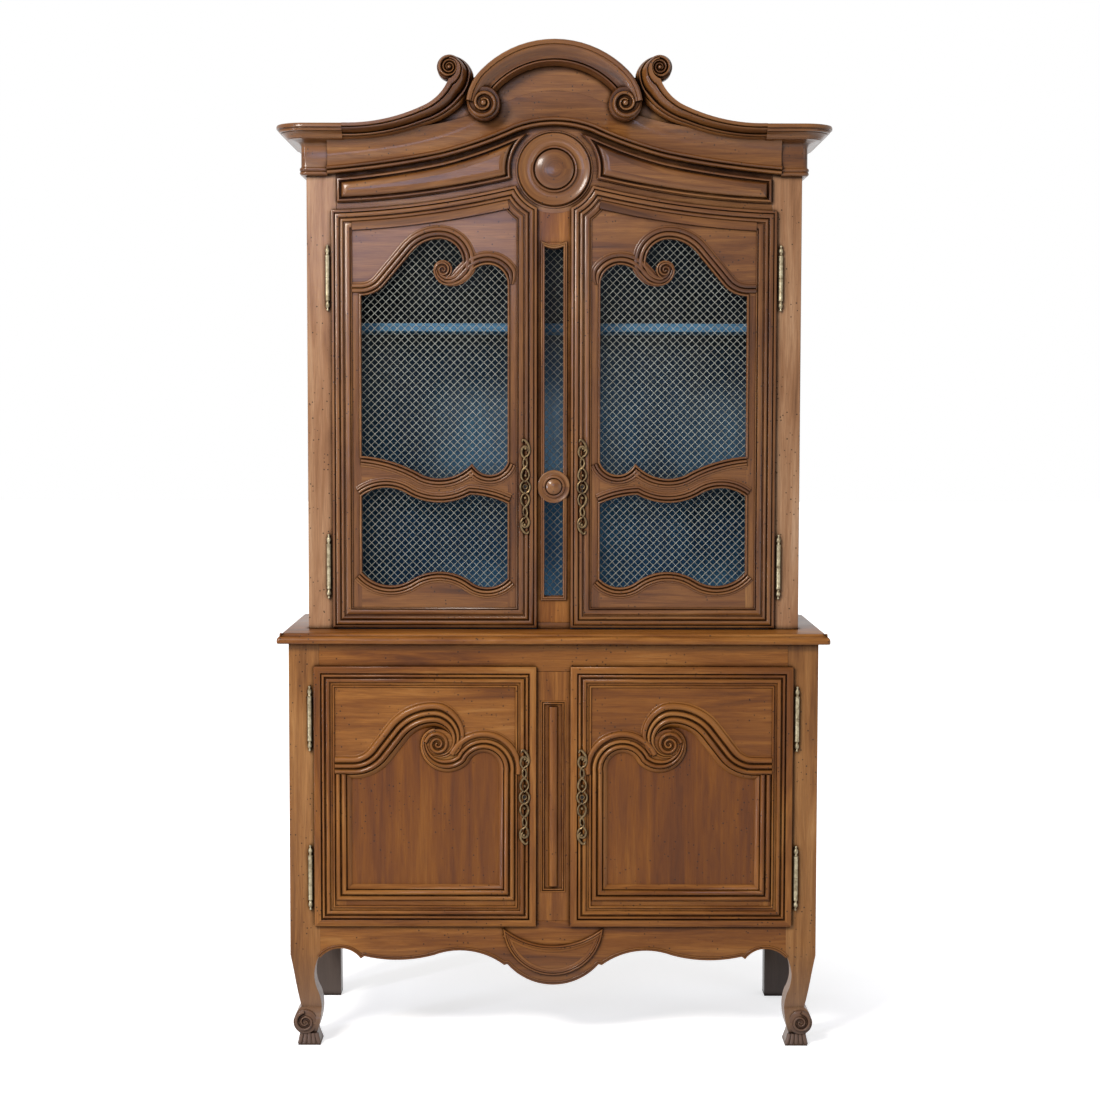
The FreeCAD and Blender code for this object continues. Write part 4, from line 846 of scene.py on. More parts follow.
bed_profile = reeds(2.5, [(9.5, 9.5, "round"), (11, 13.0, "round")])
bed_reach = upper_half - necking_return
bed_run = [spot for spot in bed_line if abs(spot[0]) < bed_reach]
bed_ends = [(x, height_at(bed_line, x)) for x in (-bed_reach, bed_reach)]
bed_run = bed_ends[:1] + bed_run + bed_ends[1:]
piece(
    "bed_moulding", [sweep(bed_run, bed_profile, crown_face)], "case", upper_run, ("cornice_bed_moulding",)
)
cove_height = 0.062
cove_verts = []
cove_grain = []
cove_columns, cove_rows = 120, 12
for column in range(cove_columns + 1):
    x = -bed_reach + 2 * bed_reach * column / cove_columns
    low = height_at(bed_line, x) + 0.019
    high = low + cove_height
    flare = 0.021 * min(1.0, max(0.0, (abs(x) - 0.16) / 0.2))
    for row in range(cove_rows + 1):
        share = row / cove_rows
        forward = 0.0008 + 0.009 * (1 - share) ** 3 + flare * share ** 3
        cove_verts.append((x, fascia_front - forward, low + (high - low) * share))
        cove_grain.append((x, low + (high - low) * share, forward))
cove_faces = ring_faces(cove_columns, cove_rows + 1)
piece("fascia_cove", [(cove_verts, cove_faces, cove_grain)], "case", upper_run)
finish_node("cornice_fascia", upper_level)

cornice_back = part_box("cornice_end_mouldings")[1].y
corner_small = 0.002


def corner_run(face_width):
    """Plan of a moulding from its end on the front, round the left corner, to the back."""
    path = [(-upper_half + face_width, upper_front), (-upper_half + corner_small, upper_front)]
    for step in range(1, 10):
        turn = math.radians(-90 - 10 * step)
        path.append((
            -upper_half + corner_small + corner_small * math.cos(turn),
            upper_front + corner_small + corner_small * math.sin(turn),
        ))
    return path + [(-upper_half, cornice_back)]


level_crown = [
    (0, -39), (22, -39), (25, -37.6), (30, -36), (36, -34.6), (43, -33.6), (44, -31.6), (46.5, -31),
    (48, -28.4), (51, -25), (55, -21.6), (58, -20), (58.6, -17.8), (61, -18.2), (64, -17),
    (65.6, -14), (65.2, -11.6), (66.4, -10.2), (70.4, -9.4), (70.5, -4), (68.6, -0.6), (66, 0),
    (0, 0),
]
level_crown = [(out * mm, crown_high + height * mm) for out, height in level_crown]
necking = [
    (0, 0), (10, 0), (14, 2.0), (15.6, 5), (15.2, 8), (13.6, 9.6), (15, 11), (16, 14), (15.2, 17.4),
    (12.6, 19.4), (12, 22), (12, 67), (13, 71), (15, 74.6), (18.4, 77.6), (22.4, 79.2), (0, 79.2),
]
necking = [(out * mm, cornice_base + height * mm) for out, height in necking]
end_parts = [
    sweep(corner_run(crown_return), level_crown, in_plan),
    sweep(corner_run(necking_return), necking, in_plan),
]
both_sides("cornice_end", end_parts, upper_run, ("cornice_end_mouldings",))

# Upper doors: a reeded border round an arched frame, scrolled rails with reeds and volutes, and
# a woven brass wire grille nailed behind. Stiles have upright grain and rails level grain.
field = 0.005
leaf_back = upper_front + 0.015
body_inset = 0.0145
stile_width = 0.070
frame_inset, field_inset, bevel_end = 0.030, 0.047, 0.0485
mesh_left = upper_lip_left + stile_width
mesh_right = upper_lip_right - stile_width
upper_unit = (mesh_right - mesh_left) / 0.354 * mm
rail_z = 1.358
scroll_z = 1.800


def upper_outline(inset):
    """Lip line of the left door, anticlockwise from its lower left corner."""
    x0 = upper_lip_left + inset
    x1 = upper_lip_right - inset
    hollow = hollow_radius + inset
    corner = arch_corner(inset)
    right_top = (x1, roundel_z - math.sqrt(hollow ** 2 - x1 ** 2))
    middle = (math.atan2(corner[1] - roundel_z, corner[0]) % math.tau
              + math.atan2(right_top[1] - roundel_z, right_top[0]) % math.tau) / 2
    points = [(x0, lip_bottom + inset), (x1, lip_bottom + inset)]
    points += waves([
        right_top, (hollow * math.cos(middle), roundel_z + hollow * math.sin(middle)), corner
    ], 12)
    middle_x = (x0 + corner[0]) / 2
    points += bow(corner, (middle_x, door_arch(inset, middle_x)), (x0, door_arch(inset, x0)), 20)
    return points


def between(loop, low, high):
    """The part of an outline between two upright lines."""
    for limit, keep in ((low, 1), (high, -1)):
        kept = []
        for index, spot in enumerate(loop):
            previous = loop[index - 1]
            inside = (spot[0] - limit) * keep >= 0
            was_inside = (previous[0] - limit) * keep >= 0
            if inside != was_inside:
                share = (limit - previous[0]) / (spot[0] - previous[0])
                kept.append((limit, previous[1] + share * (spot[1] - previous[1])))
            if inside:
                kept.append(spot)
        loop = kept
    return loop


def over_quarter(eye, radius, end):
    """A quarter turn over a scroll's eye, from its top to its left."""
    aslant = radius * 0.7071
    return bow((eye[0], eye[1] + radius), (eye[0] - aslant, eye[1] + aslant), end, 8)


def scallop_edge(base, spots):
    return waves([(mesh_left + x * upper_unit, base + z * upper_unit) for x, z in spots])


rail_top = scallop_edge(rail_z, [(0, 56), (80, 40), (147, 10), (205, 3), (268, 38), (305, 11), (354, 42)])
rail_low = scallop_edge(
    rail_z, [(0, -40), (43, -21), (105, -31), (200, -55), (263, -36), (312, -43), (354, -58)]
)
foot_edge = scallop_edge(
    lip_bottom, [(0, 134), (50, 104), (120, 116), (186, 136), (267, 109), (310, 98), (354, 120)]
)
rise = chain((mesh_left, scroll_z), 0, [(74, 50), (102, 0), (88, -50), (56, -90), (38, -90)], upper_unit)
eye_radius = 22.4 * upper_unit
upper_eye = (rise[-1][0] - 10 * upper_unit, rise[-1][1] + 20 * upper_unit)
hook_start = (upper_eye[0] - eye_radius, upper_eye[1])
hook_moves = [(38, 90), (46, 45), (30, 0), (55, -45)]
hook_moves.append(((mesh_right - chain(hook_start, -90, hook_moves, upper_unit)[-1][0]) / upper_unit, -90))
hook = chain(hook_start, -90, hook_moves, upper_unit)
over_eye = bow(rise[-1], (upper_eye[0], upper_eye[1] + eye_radius), hook_start, 10)
crest_line = rise + over_eye[:-1] + hook
upper_bay = rail_top[::-1] + crest_line
lower_bay = foot_edge[::-1] + rail_low
upper_border = in_mm([
    (0, 0), (0, 8.6), (0.8, 9.7), (2, 10), (5.2, 10), (6, 9.2), (6.4, 5.2), (8, 5.2), (8.6, 8.4),
    (9.6, 9.2), (13, 9.6), (16.4, 9.2), (17.6, 8.2), (18, 5.2), (20, 5.2), (20.8, 7.4), (22.4, 9.2),
    (24.5, 9.8), (26.6, 9.2), (28.2, 7.4), (29, 5.1), (32.6, 5.1), (33, 7.2), (34, 7.8), (43, 7.2),
    (43.8, 6.6), (44.2, 5.1), (45.8, 5.1), (46.4, 7.2), (47.4, 8.2), (48.6, 7.6), (49.4, 5.6),
    (49.6, 4.4), (49.6, 0),
])
case_face = front_plane(upper_front)
field_face = front_plane(upper_front - field)
bay_bead = reeds(0.2, [(5.6, 4.4, "round"), (1.2, 0.3, "flat")], -0.8)
double_reed = reeds(0.2, [(11, 5.4, "round"), (11, 4.6, "round"), (4, 1.6, "hollow")], 6.5)
triple_reed = reeds(0.2, [(8, 4.8, "round"), (7, 4.2, "round"), (4, 1.4, "hollow")], 6.5)
upper_coil = spiral(upper_eye, eye_radius * 0.84, 0.0015, 180, -2.0)
coil_reed = reeds(0.0, [(6.6, 5.4, "round")], -3.3)
coil_scales = [1.0 - 0.35 * index / len(upper_coil) for index in range(len(upper_coil))]
volute_path = over_quarter(upper_eye, eye_radius, hook_start)
volute_scales = [0.3 + 0.2 * index / len(volute_path) for index in range(len(volute_path))]
hook_scales = [min(1.0, 0.5 + index * 0.018, 0.35 + (len(hook) - index) * 0.1) for index in range(len(hook))]
rise_fade = 16
rise_scales = [1.0] * (len(rise) - rise_fade)
rise_scales += [0.55 + 0.45 * left / rise_fade for left in range(rise_fade, 0, -1)]
outer = upper_outline(frame_inset)
flat_front = upper_front - field
body_loop = upper_outline(body_inset)
stile_boards = [
    board([between(loop, low, high)], front, back, "Z", ease)
    for loop, front, back, ease in (
        (outer, flat_front, upper_front, 0.0003), (body_loop, upper_front, leaf_back, 0.0006)
    )
    for low, high in ((-1, mesh_left), (mesh_right, 1))
]


def rail_board(upper_edge, lower_edge, front, back):
    """A rail between the stiles, from its lower edge up to its upper edge, both left to right."""
    return board([lower_edge + upper_edge[::-1]], front, back, "X", 0.0003)


def top_edge(inset, left, right):
    """The door's arched top between two upright lines, left to right."""
    kept = between(upper_outline(inset), left, right)
    return sorted(spot for spot in kept if spot[1] > scroll_z)


foot_line = [(mesh_left, lip_bottom + frame_inset), (mesh_right, lip_bottom + frame_inset)]
body_foot = [(mesh_left, lip_bottom + body_inset), (mesh_right, lip_bottom + body_inset)]
arch_bevel = in_mm([
    (0, 5), (0, 5.4), (1.4, 7.2), (4, 8.6), (19, 10.6), (21, 10.6), (22, 9.6), (22.4, 5),
])
bevel_inset = 0.0275
bevel_left = upper_lip_left + bevel_end
bevel_right = arch_corner(bevel_end)[0] + 0.003
bevel_path = []
for step in range(21):
    x = bevel_right + (bevel_left - bevel_right) * step / 20
    bevel_path.append((x, door_arch(bevel_inset, x)))
field_left = upper_lip_left + field_inset
field_right = upper_lip_right - field_inset
rise_run = [(field_left + 0.002, scroll_z)] + rise
rails = {
    "top": [
        sweep(bevel_path, arch_bevel, case_face),
        rail_board(
            top_edge(frame_inset, field_left, field_right),
            [(field_left, scroll_z)] + crest_line + [(field_right, crest_line[-1][1])],
            flat_front - 0.0003, upper_front,
        ),
        rail_board(top_edge(body_inset, mesh_left, mesh_right), crest_line, upper_front, leaf_back),
        sweep(rise_run, double_reed, field_face, False, rise_scales[:1] + rise_scales),
        sweep(volute_path + hook[1:], double_reed, field_face, False, volute_scales + hook_scales[1:]),
        sweep(upper_coil, coil_reed, field_face, False, coil_scales),
    ],
    "middle": [
        rail_board(rail_top, rail_low, flat_front, leaf_back),
        sweep(rail_top[::-1], triple_reed, field_face),
        sweep(rail_low, triple_reed, field_face),
    ],
    "bottom": [
        rail_board(foot_edge, foot_line, flat_front, upper_front),
        rail_board(foot_edge, body_foot, upper_front, leaf_back),
        sweep(foot_edge[::-1], triple_reed, field_face),
    ],
}
for side, mirror in (("left", False), ("right", True)):
    door = "upper_" + side + "_door"
    border = loft(upper_outline, upper_border, case_face)
    piece(door + "_frame_stiles", stile_boards, door, upper_run, (door + "_stiles",), mirror)
    piece(door + "_border", [border], door, upper_run, (door + "_stiles",), mirror)
    for rail, parts in rails.items():
        piece(door + "_" + rail + "_carving", parts, door, upper_run, (door + "_" + rail + "_rail",), mirror)
    beads = [sweep(loop[::-1], bay_bead, field_face, True) for loop in (upper_bay[::-1], lower_bay[::-1])]
    piece(door + "_bay_beads", beads, door, upper_run, (), mirror)

# Wire grilles: thin brass wire woven over and under at forty-five degrees. It has gone pale and
# dull, and the crossings have settled into one another.


def brass(name, pale, dark, rough):
    """Old brass: dull yellow metal with brown tarnish in clouds and specks."""
    material, tree, shader = material_tree(name)
    place = add(tree, "TexCoord").outputs["Object"]
    clouds = noise(tree, place, 90.0, 5.0, 0.65)
    specks = noise(tree, place, 900.0, 2.0)
    colour = mixed(tree, ramp(tree, clouds, 0.40, 0.66), (*pale, 1), (*dark, 1))
    colour = mixed(tree, ramp(tree, specks, 0.60, 0.70, 0.0, 0.6), colour, (*dark, 1))
    hollow = add(tree, "AmbientOcclusion", {"Distance": 0.004}, samples=4).outputs["AO"]
    colour = mixed(tree, ramp(tree, hollow, 0.8, 0.3, 0.0, 0.85), colour, (0.03, 0.018, 0.008, 1))
    bump = add(tree, "Bump", {"Strength": 0.2, "Distance": 0.0004, "Height": clouds})
    dress(tree, shader, colour, ramp(tree, clouds, 0.3, 0.7, rough, rough + 0.2), bump)
    shader.inputs["Metallic"].default_value = 0.75
    return material


wire_brass = brass("brass_wire", (0.50, 0.52, 0.46), (0.26, 0.26, 0.22), 0.42)
wire_pitch = 0.0182
wire_radius = 0.0007


def woven(low, high):
    """Two sets of slanting wires across a rectangle, each passing over and under the other set."""
    verts = []
    faces = []
    y = (low.y + high.y) / 2
    span = (high.x - low.x) + (high.z - low.z)
    for slope in (1, -1):
        for index in range(int(span / wire_pitch) + 1):
            start = index * wire_pitch
            spots = []
            for step in range(int(span / wire_pitch) * 2):
                x = low.x + step * wire_pitch / 2
                z = low.z + (start - (x - low.x) if slope < 0 else start - (high.x - low.x) + (x - low.x))
                if low.x <= x <= high.x and low.z <= z <= high.z:
                    spots.append((x, y + (0.0006 if (step + index) % 2 else -0.0006) * slope, z))
            if len(spots) < 2:
                continue
            base = len(verts)
            tilt = wire_radius * 0.7071
            for x, depth, z in spots:
                verts += [
                    (x - tilt * slope, depth, z + tilt), (x, depth - wire_radius, z),
                    (x + tilt * slope, depth, z - tilt), (x, depth + wire_radius, z),
                ]
            for ring in range(len(spots) - 1):
                for corner in range(4):
                    here = base + ring * 4 + corner
                    beside = base + ring * 4 + (corner + 1) % 4
                    faces.append((here, here + 4, beside + 4, beside))
    return verts, faces, [(x, z, y) for x, y, z in verts]


for node, body in (
    ("upper_left_door_grille", "upper_left_door"),
    ("upper_right_door_grille", "upper_right_door"),
    ("centre_grille", "case"),
):
    piece(node + "_wires", [woven(*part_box(node))], body, wire_brass, (node,), crease=80)

# Lower doors: a wider reeded border, a scrolled top rail of three reeds with a volute, and a flat
# panel of upright grain whose edge shows a pale bevel under the carving.
(lower_lip_left, _, lower_lip_low), (lower_lip_right, _, lower_lip_high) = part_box("lower_left_door_stiles")
lower_stile = 0.077
lower_frame_inset, lower_field_inset = 0.032, 0.048
bay_left = lower_lip_left + lower_stile
bay_right = lower_lip_right - lower_stile
bay_low = lower_lip_low + 0.088
lower_unit = (bay_right - bay_left) / 0.377 * mm
lower_scroll_z = lower_lip_low + 0.369
lower_back = lower_front + 0.015
lower_rise = chain(
    (bay_left, lower_scroll_z), 0, [(17, 0), (100, 52), (66, 0), (91, -52), (46, -80)], lower_unit
)
lower_eye_radius = 36 * lower_unit
lower_eye = (lower_rise[-1][0] - 35 * lower_unit, lower_rise[-1][1] - 15 * lower_unit)
lower_hook_start = (lower_eye[0] - lower_eye_radius, lower_eye[1])
lower_hook = chain(lower_hook_start, -90, [(58, 90), (60, 45)], lower_unit)
cusp = lower_hook[-1]
lobe = [cusp] + bow(
    cusp, (cusp[0] + 52 * lower_unit, cusp[1] + 30 * lower_unit), (bay_right, cusp[1] - 28 * lower_unit), 16
)
lower_over_eye = bow(lower_rise[-1], (lower_eye[0], lower_eye[1] + lower_eye_radius), lower_hook_start, 10)
lower_crest = lower_rise + lower_over_eye[:-1] + lower_hook + lobe[1:]


def lower_outline(inset):
    """Lip line of the left door, set in all round."""
    return rectangle(
        lower_lip_left + inset, lower_lip_right - inset, lower_lip_low + inset, lower_lip_high - inset
    )


lower_border = in_mm([
    (0, 0), (0, 8.6), (0.8, 9.6), (2, 10), (14.4, 10), (15.6, 9.4), (16, 5.2), (18, 5.2), (18.8, 8),
    (20.4, 9.6), (22, 10), (23.6, 9.6), (25, 8), (25.6, 5.2), (28, 5.2), (28.8, 7.6), (30.6, 9.6),
    (33.4, 10.2), (36.2, 9.4), (38, 7.2), (38.8, 5.05), (44.6, 5.05), (45, 7.0), (46, 8.0),
    (48.8, 8.0), (49.8, 7), (50.2, 4.4), (50.2, 0),
])
lower_case_face = front_plane(lower_front)
lower_field_face = front_plane(lower_front - field)
frame_reeds = in_mm([
    (-13, -8.0), (-12.4, -7.2), (-3.4, -0.6), (-2.4, -0.2), (-2.0, -4.0), (-0.4, -4.0), (0.2, 2.2),
    (2, 5.0), (5.5, 6.6), (9, 5.6), (11.4, 2.6), (12, 0.2), (13.6, 0.2), (14.2, 2.8), (16.4, 5.4),
    (19.4, 6.4), (22.4, 5.4), (24.6, 2.8), (25.2, 0.2), (26, 0),
])
outer_reed = reeds(0.2, [(15, 6.4, "round"), (4, 1.4, "hollow")], 27)
lower_coil = spiral(lower_eye, lower_eye_radius * 0.80, 0.002, 170, -2.2)
lower_coil_reed = reeds(0.0, [(9.6, 6.6, "round")], -4.8)
lower_coil_scales = [1.0 - 0.4 * index / len(lower_coil) for index in range(len(lower_coil))]
lower_volute = over_quarter(lower_eye, lower_eye_radius, lower_hook_start)
lower_volute_scales = [0.2 + 0.2 * index / len(lower_volute) for index in range(len(lower_volute))]
lower_hook_scales = [min(0.85, 0.4 + index * 0.025) for index in range(len(lower_hook))]
lower_rise_scales = [min(1.12, 1.0 + 0.12 * max(0, index - 4) / 10) for index in range(len(lower_rise) - 13)]
lower_rise_scales += [1.12 - 0.42 * index / 14 for index in range(14)]
lower_rise_scales += [0.68 - 0.55 * index / 30 for index in range(30)]
frame_path = lower_volute + lower_hook[1:] + lobe[1:]
frame_scales = lower_volute_scales + lower_hook_scales[1:]
frame_scales += [0.85 + 0.15 * index / len(lobe) for index in range(1, len(lobe))] + [1.0, 1.0, 1.0]
frame_path += [(bay_right, bay_low), (bay_left, bay_low), (bay_left, lower_scroll_z)]
lower_outer = lower_outline(lower_frame_inset)
lower_body = lower_outline(body_inset)
lower_flat = lower_front - field
lower_stile_boards = [
    board([between(loop, low, high)], front, back, "Z", 0.0003)
    for loop, front, back in ((lower_outer, lower_flat, lower_front), (lower_body, lower_front, lower_back))
    for low, high in ((-1, bay_left), (bay_right, 1))
]


def level_line(z):
    return [(bay_left, z), (bay_right, z)]


lower_field_left = lower_lip_left + lower_field_inset
lower_field_right = lower_lip_right - lower_field_inset
lower_frame_top = lower_lip_high - lower_frame_inset
lower_rise_run = [(lower_field_left + 0.002, lower_scroll_z)] + lower_rise
lower_tail = chain(lower_rise[-1], -80, [(34, -150)], lower_unit)
lower_rise_run += lower_tail[1:]
lower_rails = [
    rail_board(
        [(lower_field_left, lower_frame_top), (lower_field_right, lower_frame_top)],
        [(lower_field_left, lower_scroll_z)] + lower_crest + [(lower_field_right, lower_crest[-1][1])],
        lower_flat - 0.0003, lower_front,
    ),
    rail_board(level_line(lower_lip_high - body_inset), lower_crest, lower_front, lower_back),
    rail_board(level_line(bay_low), level_line(lower_lip_low + lower_frame_inset), lower_flat, lower_front),
    rail_board(level_line(bay_low), level_line(lower_lip_low + body_inset), lower_front, lower_back),
    sweep(lower_rise_run, frame_reeds, lower_field_face, False, lower_rise_scales),
    sweep(lower_rise_run[:-20], outer_reed, lower_field_face, False, lower_rise_scales),
    sweep(frame_path, frame_reeds, lower_field_face, False, frame_scales),
    sweep(lobe, outer_reed, lower_field_face),
    sweep(lower_coil, lower_coil_reed, lower_field_face, False, lower_coil_scales),
]
for side, mirror in (("left", False), ("right", True)):
    door = "lower_" + side + "_door"
    border = sweep(lower_outline(0), lower_border, lower_case_face, True)
    piece(door + "_frame_stiles", lower_stile_boards, door, lower_run, (door + "_stiles",), mirror)
    piece(door + "_border", [border], door, lower_run, (door + "_stiles",), mirror)
    piece(door + "_rail_carving", lower_rails, door, lower_run, (door + "_rails",), mirror)
    finish_node(door + "_panel", lower_panel_grain, 0.0005)

# Hinges: slim brass barrels with a turned finial at each end. The lower half stays on the post
# and the upper half swings with the door.
hinge_brass = brass("hinge_brass", (0.36, 0.31, 0.20), (0.15, 0.11, 0.06), 0.34)
half_hinge = [
    (0, 0.15), (4.6, 0.15), (5.2, 0.9), (5.2, 50), (5.5, 51), (5.5, 53.4), (4.2, 54.4), (3.2, 56),
    (3.0, 58), (3.8, 60), (5.0, 63), (5.2, 65.5), (4.6, 68.5), (3.2, 71), (2.0, 72.5), (1.9, 73.5),
    (2.8, 75), (3.0, 76.6), (2.2, 78.2), (0, 79),
]


def hinge_half(x, y, z, up):
    """A half hinge that grows up or down from the middle of the barrel."""
    profile = [(radius * mm, z + height * up * mm) for radius, height in half_hinge]
    verts, faces, grain = turned(profile, (x, y), in_plan, 24)
    if up > 0:
        faces = [face[::-1] for face in faces]
    return verts, faces, grain


hinge_places = {
    "upper": (upper_lip_left - 0.010, upper_front - 0.0055, (1.147, 1.842)),
    "lower": (lower_lip_left - 0.010, lower_front - 0.0055, (0.404, 0.789)),
}
pins = []
for stage, (x, y, heights) in hinge_places.items():
    for side in (1, -1):
        pins += [hinge_half(x * side, y, z, -1) for z in heights]
    for side, mirror in (("left", False), ("right", True)):
        door = stage + "_" + side + "_door"
        halves = [hinge_half(x, y, z, 1) for z in heights]
        piece(
            door + "_knuckles", halves, door, hinge_brass, (door + "_hinge_knuckles",), mirror
        )
piece("post_knuckles", pins, "case", hinge_brass, ("hinge_pins",))

# Escutcheons: long cast plates of pierced leaf scrolls, held by four domed nails. The same plate
# is used both ways, so the leaves turn to the same side on every door.
plate_brass = brass("escutcheon_brass", (0.17, 0.112, 0.050), (0.055, 0.033, 0.015), 0.34)


def ribbon(points, widths, thickness, place):
    """A flat cast scroll with a rounded face, of its own width at each point."""
    profile = [(-0.5, 0), (-0.5, 0.35), (-0.36, 0.8), (0, 1.0), (0.36, 0.8), (0.5, 0.35), (0.5, 0)]
    verts, faces, grain = sweep(points, profile, lambda x, z, height: (x, height, z))
    shaped = []
    for index, (x, height, z) in enumerate(verts):
        ring = index // len(profile)
        centre = points[ring]
        width = widths[ring]
        shaped.append(place(
            centre[0] + (x - centre[0]) * width, centre[1] + (z - centre[1]) * width, height * thickness
        ))
    return shaped, faces, grain


def tapered(count, first, middle, last):
    """Widths that swell from the first to the middle and shrink to the last."""
    widths = []
    for index in range(count):
        share = index / (count - 1)
        swell = math.sin(math.pi * share)
        widths.append((first + (last - first) * share) * (1 - swell) + middle * swell)
    return widths


def escutcheon(x, z, face_y):
    """One plate: a keyhole shield between two pairs of leaf scrolls."""
    place = front_plane(face_y)
    parts = []
    strokes = [
        ([(0, 12), (-9, 22), (-6, 40), (4, 52), (3, 68)], (3, 5.5, 3)),
        ([(0, 12), (9, 24), (7, 38), (-3, 50), (-4, 64), (3, 76)], (3, 4.5, 2.6)),
        ([(3, 64), (-6, 74), (-9, 86), (-1, 97), (7, 90), (3, 84)], (3, 6, 2.2)),
        ([(-2, 70), (8, 78), (10, 92), (3, 108), (-5, 113), (-8, 107)], (2.6, 6, 2.4)),
        ([(0, -14), (9, -26), (6, -42), (-4, -54), (-3, -70)], (3, 5.5, 3)),
        ([(0, -14), (-9, -24), (-8, -40), (2, -52), (5, -66), (-3, -78)], (3, 4.5, 2.6)),
        ([(-3, -66), (6, -76), (9, -88), (1, -98), (-7, -91), (-3, -85)], (3, 6, 2.2)),
        ([(2, -72), (-8, -80), (-10, -94), (-3, -109), (5, -113), (8, -107)], (2.6, 6, 2.4)),
        ([(-4, 14), (-11, 4), (-9, -10), (0, -17)], (3, 5, 3)),
        ([(4, 14), (11, 4), (9, -10), (0, -17)], (3, 5, 3)),
    ]
    for spots, widths in strokes:
        curve = bpy.data.curves.new("stroke", "CURVE")
        curve.dimensions = "2D"
        curve.resolution_u = 6
        spline = curve.splines.new("BEZIER")
        spline.bezier_points.add(len(spots) - 1)
        for knot, (dx, dz) in zip(spline.bezier_points, spots):
            knot.co = (x + dx * mm, z + dz * mm, 0)
            knot.handle_left_type = knot.handle_right_type = "AUTO"
        blank = bpy.data.objects.new("stroke", curve)
        bpy.context.scene.collection.objects.link(blank)
        bpy.context.view_layer.update()
        mesh = bpy.data.meshes.new_from_object(blank)
        points = [(vert.co.x, vert.co.y) for vert in mesh.vertices]
        bpy.data.objects.remove(blank)
        bpy.data.curves.remove(curve)
        bpy.data.meshes.remove(mesh)
        parts.append(ribbon(points, tapered(len(points), *[width * mm for width in widths]), 0.0034, place))
    dome = [(0.0036, 0.0), (0.0034, 0.0036), (0.0024, 0.0050), (0.0, 0.0057)]
    for dx, dz in ((1, 92), (1, 27), (0, -27), (-1, -92)):
        parts.append(turned(dome, (x + dx * mm, z + dz * mm), place, 14))
    rim = in_mm([(4.8, 0), (6.2, 0.4), (6.6, 2.0), (5.6, 3.4), (4.5, 3.0), (4.2, 0)])
    parts.append(turned(rim[::-1], (x, z), place, 20))
    return parts


plate_inset = 0.028
border_rise = 0.0098
lower_plate_z = 0.601
# Each keyhole is a near-black slab set in the plate: painted shade that stands for the hole.
dark_bore, dark_tree, dark_shader = material_tree("keyhole_dark")
hole_shade_speckle = noise(dark_tree, add(dark_tree, "TexCoord").outputs["Object"], 300.0)
dark_colour = colours(dark_tree, hole_shade_speckle, ((0.002, 0.001, 0.001), (0.010, 0.006, 0.004)))
dark_tree.links.new(dark_colour, dark_shader.inputs["Base Color"])
dark_shader.inputs["Roughness"].default_value = 0.9
for stage, front, lip_right, z in (
    ("upper", upper_front, upper_lip_right, small_z), ("lower", lower_front, lower_lip_right, lower_plate_z)
):
    for side, sign in (("left", 1), ("right", -1)):
        door = stage + "_" + side + "_door"
        x = (lip_right - plate_inset) * sign
        plate = escutcheon(x, z, front - border_rise)
        piece(door + "_plate", plate, door, plate_brass, (door + "_escutcheon",))
        shank = 0.0016
        hole = [(x - shank, z - 0.013), (x + shank, z - 0.013), (x + shank, z - 0.003)]
        for k in range(-10, 0):
            turn = k * 0.5 + 2.6
            hole.append((x + 0.004 * math.sin(turn), z + 0.004 * math.cos(turn)))
        hole = board([hole + [(x - shank, z - 0.003)]], front - 0.0106, front - 0.006, "Z", 0.0001)
        piece(door + "_keyhole", [hole], door, dark_bore)

# Locks: iron rim locks on the backs of the lock stiles, brown with age. Each has its own sliding
# bolt, which the key throws.
iron, iron_tree, iron_shader = material_tree("lock_iron")
iron_place = add(iron_tree, "TexCoord").outputs["Object"]
rust = noise(iron_tree, iron_place, 70.0, 6.0, 0.7)
rusty = colours(iron_tree, rust, ((0.035, 0.030, 0.028), (0.075, 0.062, 0.052), (0.15, 0.085, 0.048)))
pitted = add(iron_tree, "Bump", {"Strength": 0.4, "Distance": 0.0006, "Height": rust})
dress(iron_tree, iron_shader, rusty, ramp(iron_tree, rust, 0.3, 0.7, 0.45, 0.75), pitted)
iron_shader.inputs["Metallic"].default_value = 0.6
for stage in ("upper", "lower"):
    for side in ("left", "right"):
        for part in ("lock_case", "lock_bolt"):
            finish_node(stage + "_" + side + "_door_" + part, iron, 0.0012)

# Stage: a pale floor and a white surround, which also show white in reflections. A warm key comes
# from the upper left, a bluish sheen from above the camera, and a soft fill from each side.
floor_size = 30.0
floor_mesh = bpy.data.meshes.new("floor")
floor_corners = rectangle(-floor_size, floor_size, -floor_size, floor_size)
floor_mesh.from_pydata([(x, y, 0) for x, y in floor_corners], [], [(0, 1, 2, 3)])
floor = bpy.data.objects.new("floor", floor_mesh)
bpy.context.scene.collection.objects.link(floor)
floor_paint, floor_tree, floor_shader = material_tree("floor_paint")
floor_mesh.materials.append(floor_paint)


def shows_white(tree):
    """One for the rays that show the surround: to the camera, mirrored or passed on."""
    rays = add(tree, "LightPath").outputs
    mirrored_ray = times(tree, rays["Is Glossy Ray"], rays["Is Transmission Ray"], "MAXIMUM")
    return times(tree, rays["Is Camera Ray"], mirrored_ray, "MAXIMUM")


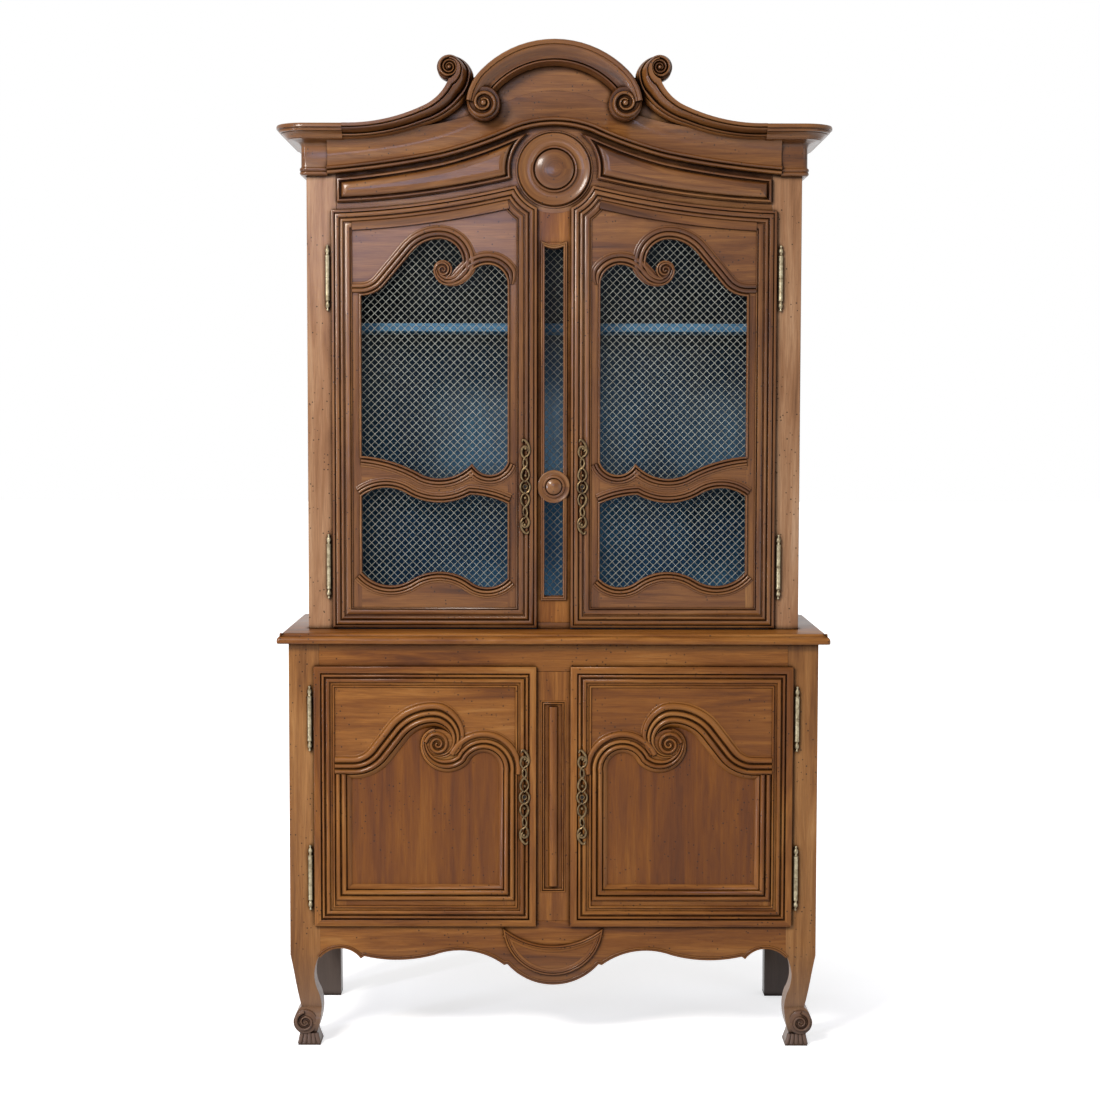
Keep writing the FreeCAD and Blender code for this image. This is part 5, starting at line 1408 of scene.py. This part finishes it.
seen = shows_white(floor_tree)
floor_tree.links.new(
    mixed(floor_tree, seen, (0.26, 0.25, 0.24, 1), (0.92, 0.92, 0.94, 1)), floor_shader.inputs["Base Color"]
)
floor_shader.inputs["Emission Color"].default_value = (1, 1, 1, 1)
out_from_feet = add(
    floor_tree, "VectorMath", {0: add(floor_tree, "TexCoord").outputs["Object"]}, operation="LENGTH"
).outputs["Value"]
floor_tree.links.new(
    times(floor_tree, seen, ramp(floor_tree, out_from_feet, 0.75, 1.9, 0.60, 1.0)),
    floor_shader.inputs["Emission Strength"],
)
grit = noise(floor_tree, add(floor_tree, "TexCoord").outputs["Object"], 4.0)
floor_tree.links.new(ramp(floor_tree, grit, 0.3, 0.7, 0.85, 0.95), floor_shader.inputs["Roughness"])

world = bpy.data.worlds.new("surround")
bpy.context.scene.world = world
world.use_nodes = True
sky = world.node_tree
background = sky.nodes["Background"]
background.inputs["Color"].default_value = (1, 1, 1, 1)
sky.links.new(ramp(sky, shows_white(sky), 0, 1, 0.34, 1.0), background.inputs["Strength"])


def soft_light(name, place, aim, size, power, colour):
    """A rectangular soft light that faces a point."""
    data = bpy.data.lights.new(name, "AREA")
    data.shape = "RECTANGLE"
    data.size, data.size_y = size
    data.energy = power
    data.color = colour
    lamp = bpy.data.objects.new(name, data)
    bpy.context.scene.collection.objects.link(lamp)
    way = Vector(place) - Vector(aim)
    lamp.location = place
    lamp.rotation_euler = way.to_track_quat("Z", "Y").to_euler()


soft_light("key", (-2.5, -4.1, 3.9), (0, 0, 1.3), (1.4, 1.1), 240, (1.0, 0.95, 0.88))
soft_light("sheen", (-0.85, -6.2, 2.5), (-0.2, 0, 2.1), (1.6, 0.8), 34, (0.52, 0.66, 1.0))
soft_light("left_strip", (-3.4, -2.6, 1.5), (0, -0.1, 1.3), (0.24, 2.4), 56, (0.86, 0.89, 1.0))
soft_light("right_fill", (4.0, -3.4, 1.6), (0, 0, 1.1), (2.0, 2.4), 26, (0.92, 0.95, 1.0))

lens = 71.1
camera_place = (-0.0094, -5.385, 1.532)
camera_pitch = 0.0655
camera_roll = -0.0017
camera_data = bpy.data.cameras.new("camera")
camera_data.lens = lens
camera_data.sensor_width = 36
camera = bpy.data.objects.new("camera", camera_data)
bpy.context.scene.collection.objects.link(camera)
camera.location = camera_place
camera.rotation_euler = (math.pi / 2 - camera_pitch, camera_roll, 0)
bpy.context.scene.camera = camera
bpy.context.scene.view_settings.view_transform = "Standard"
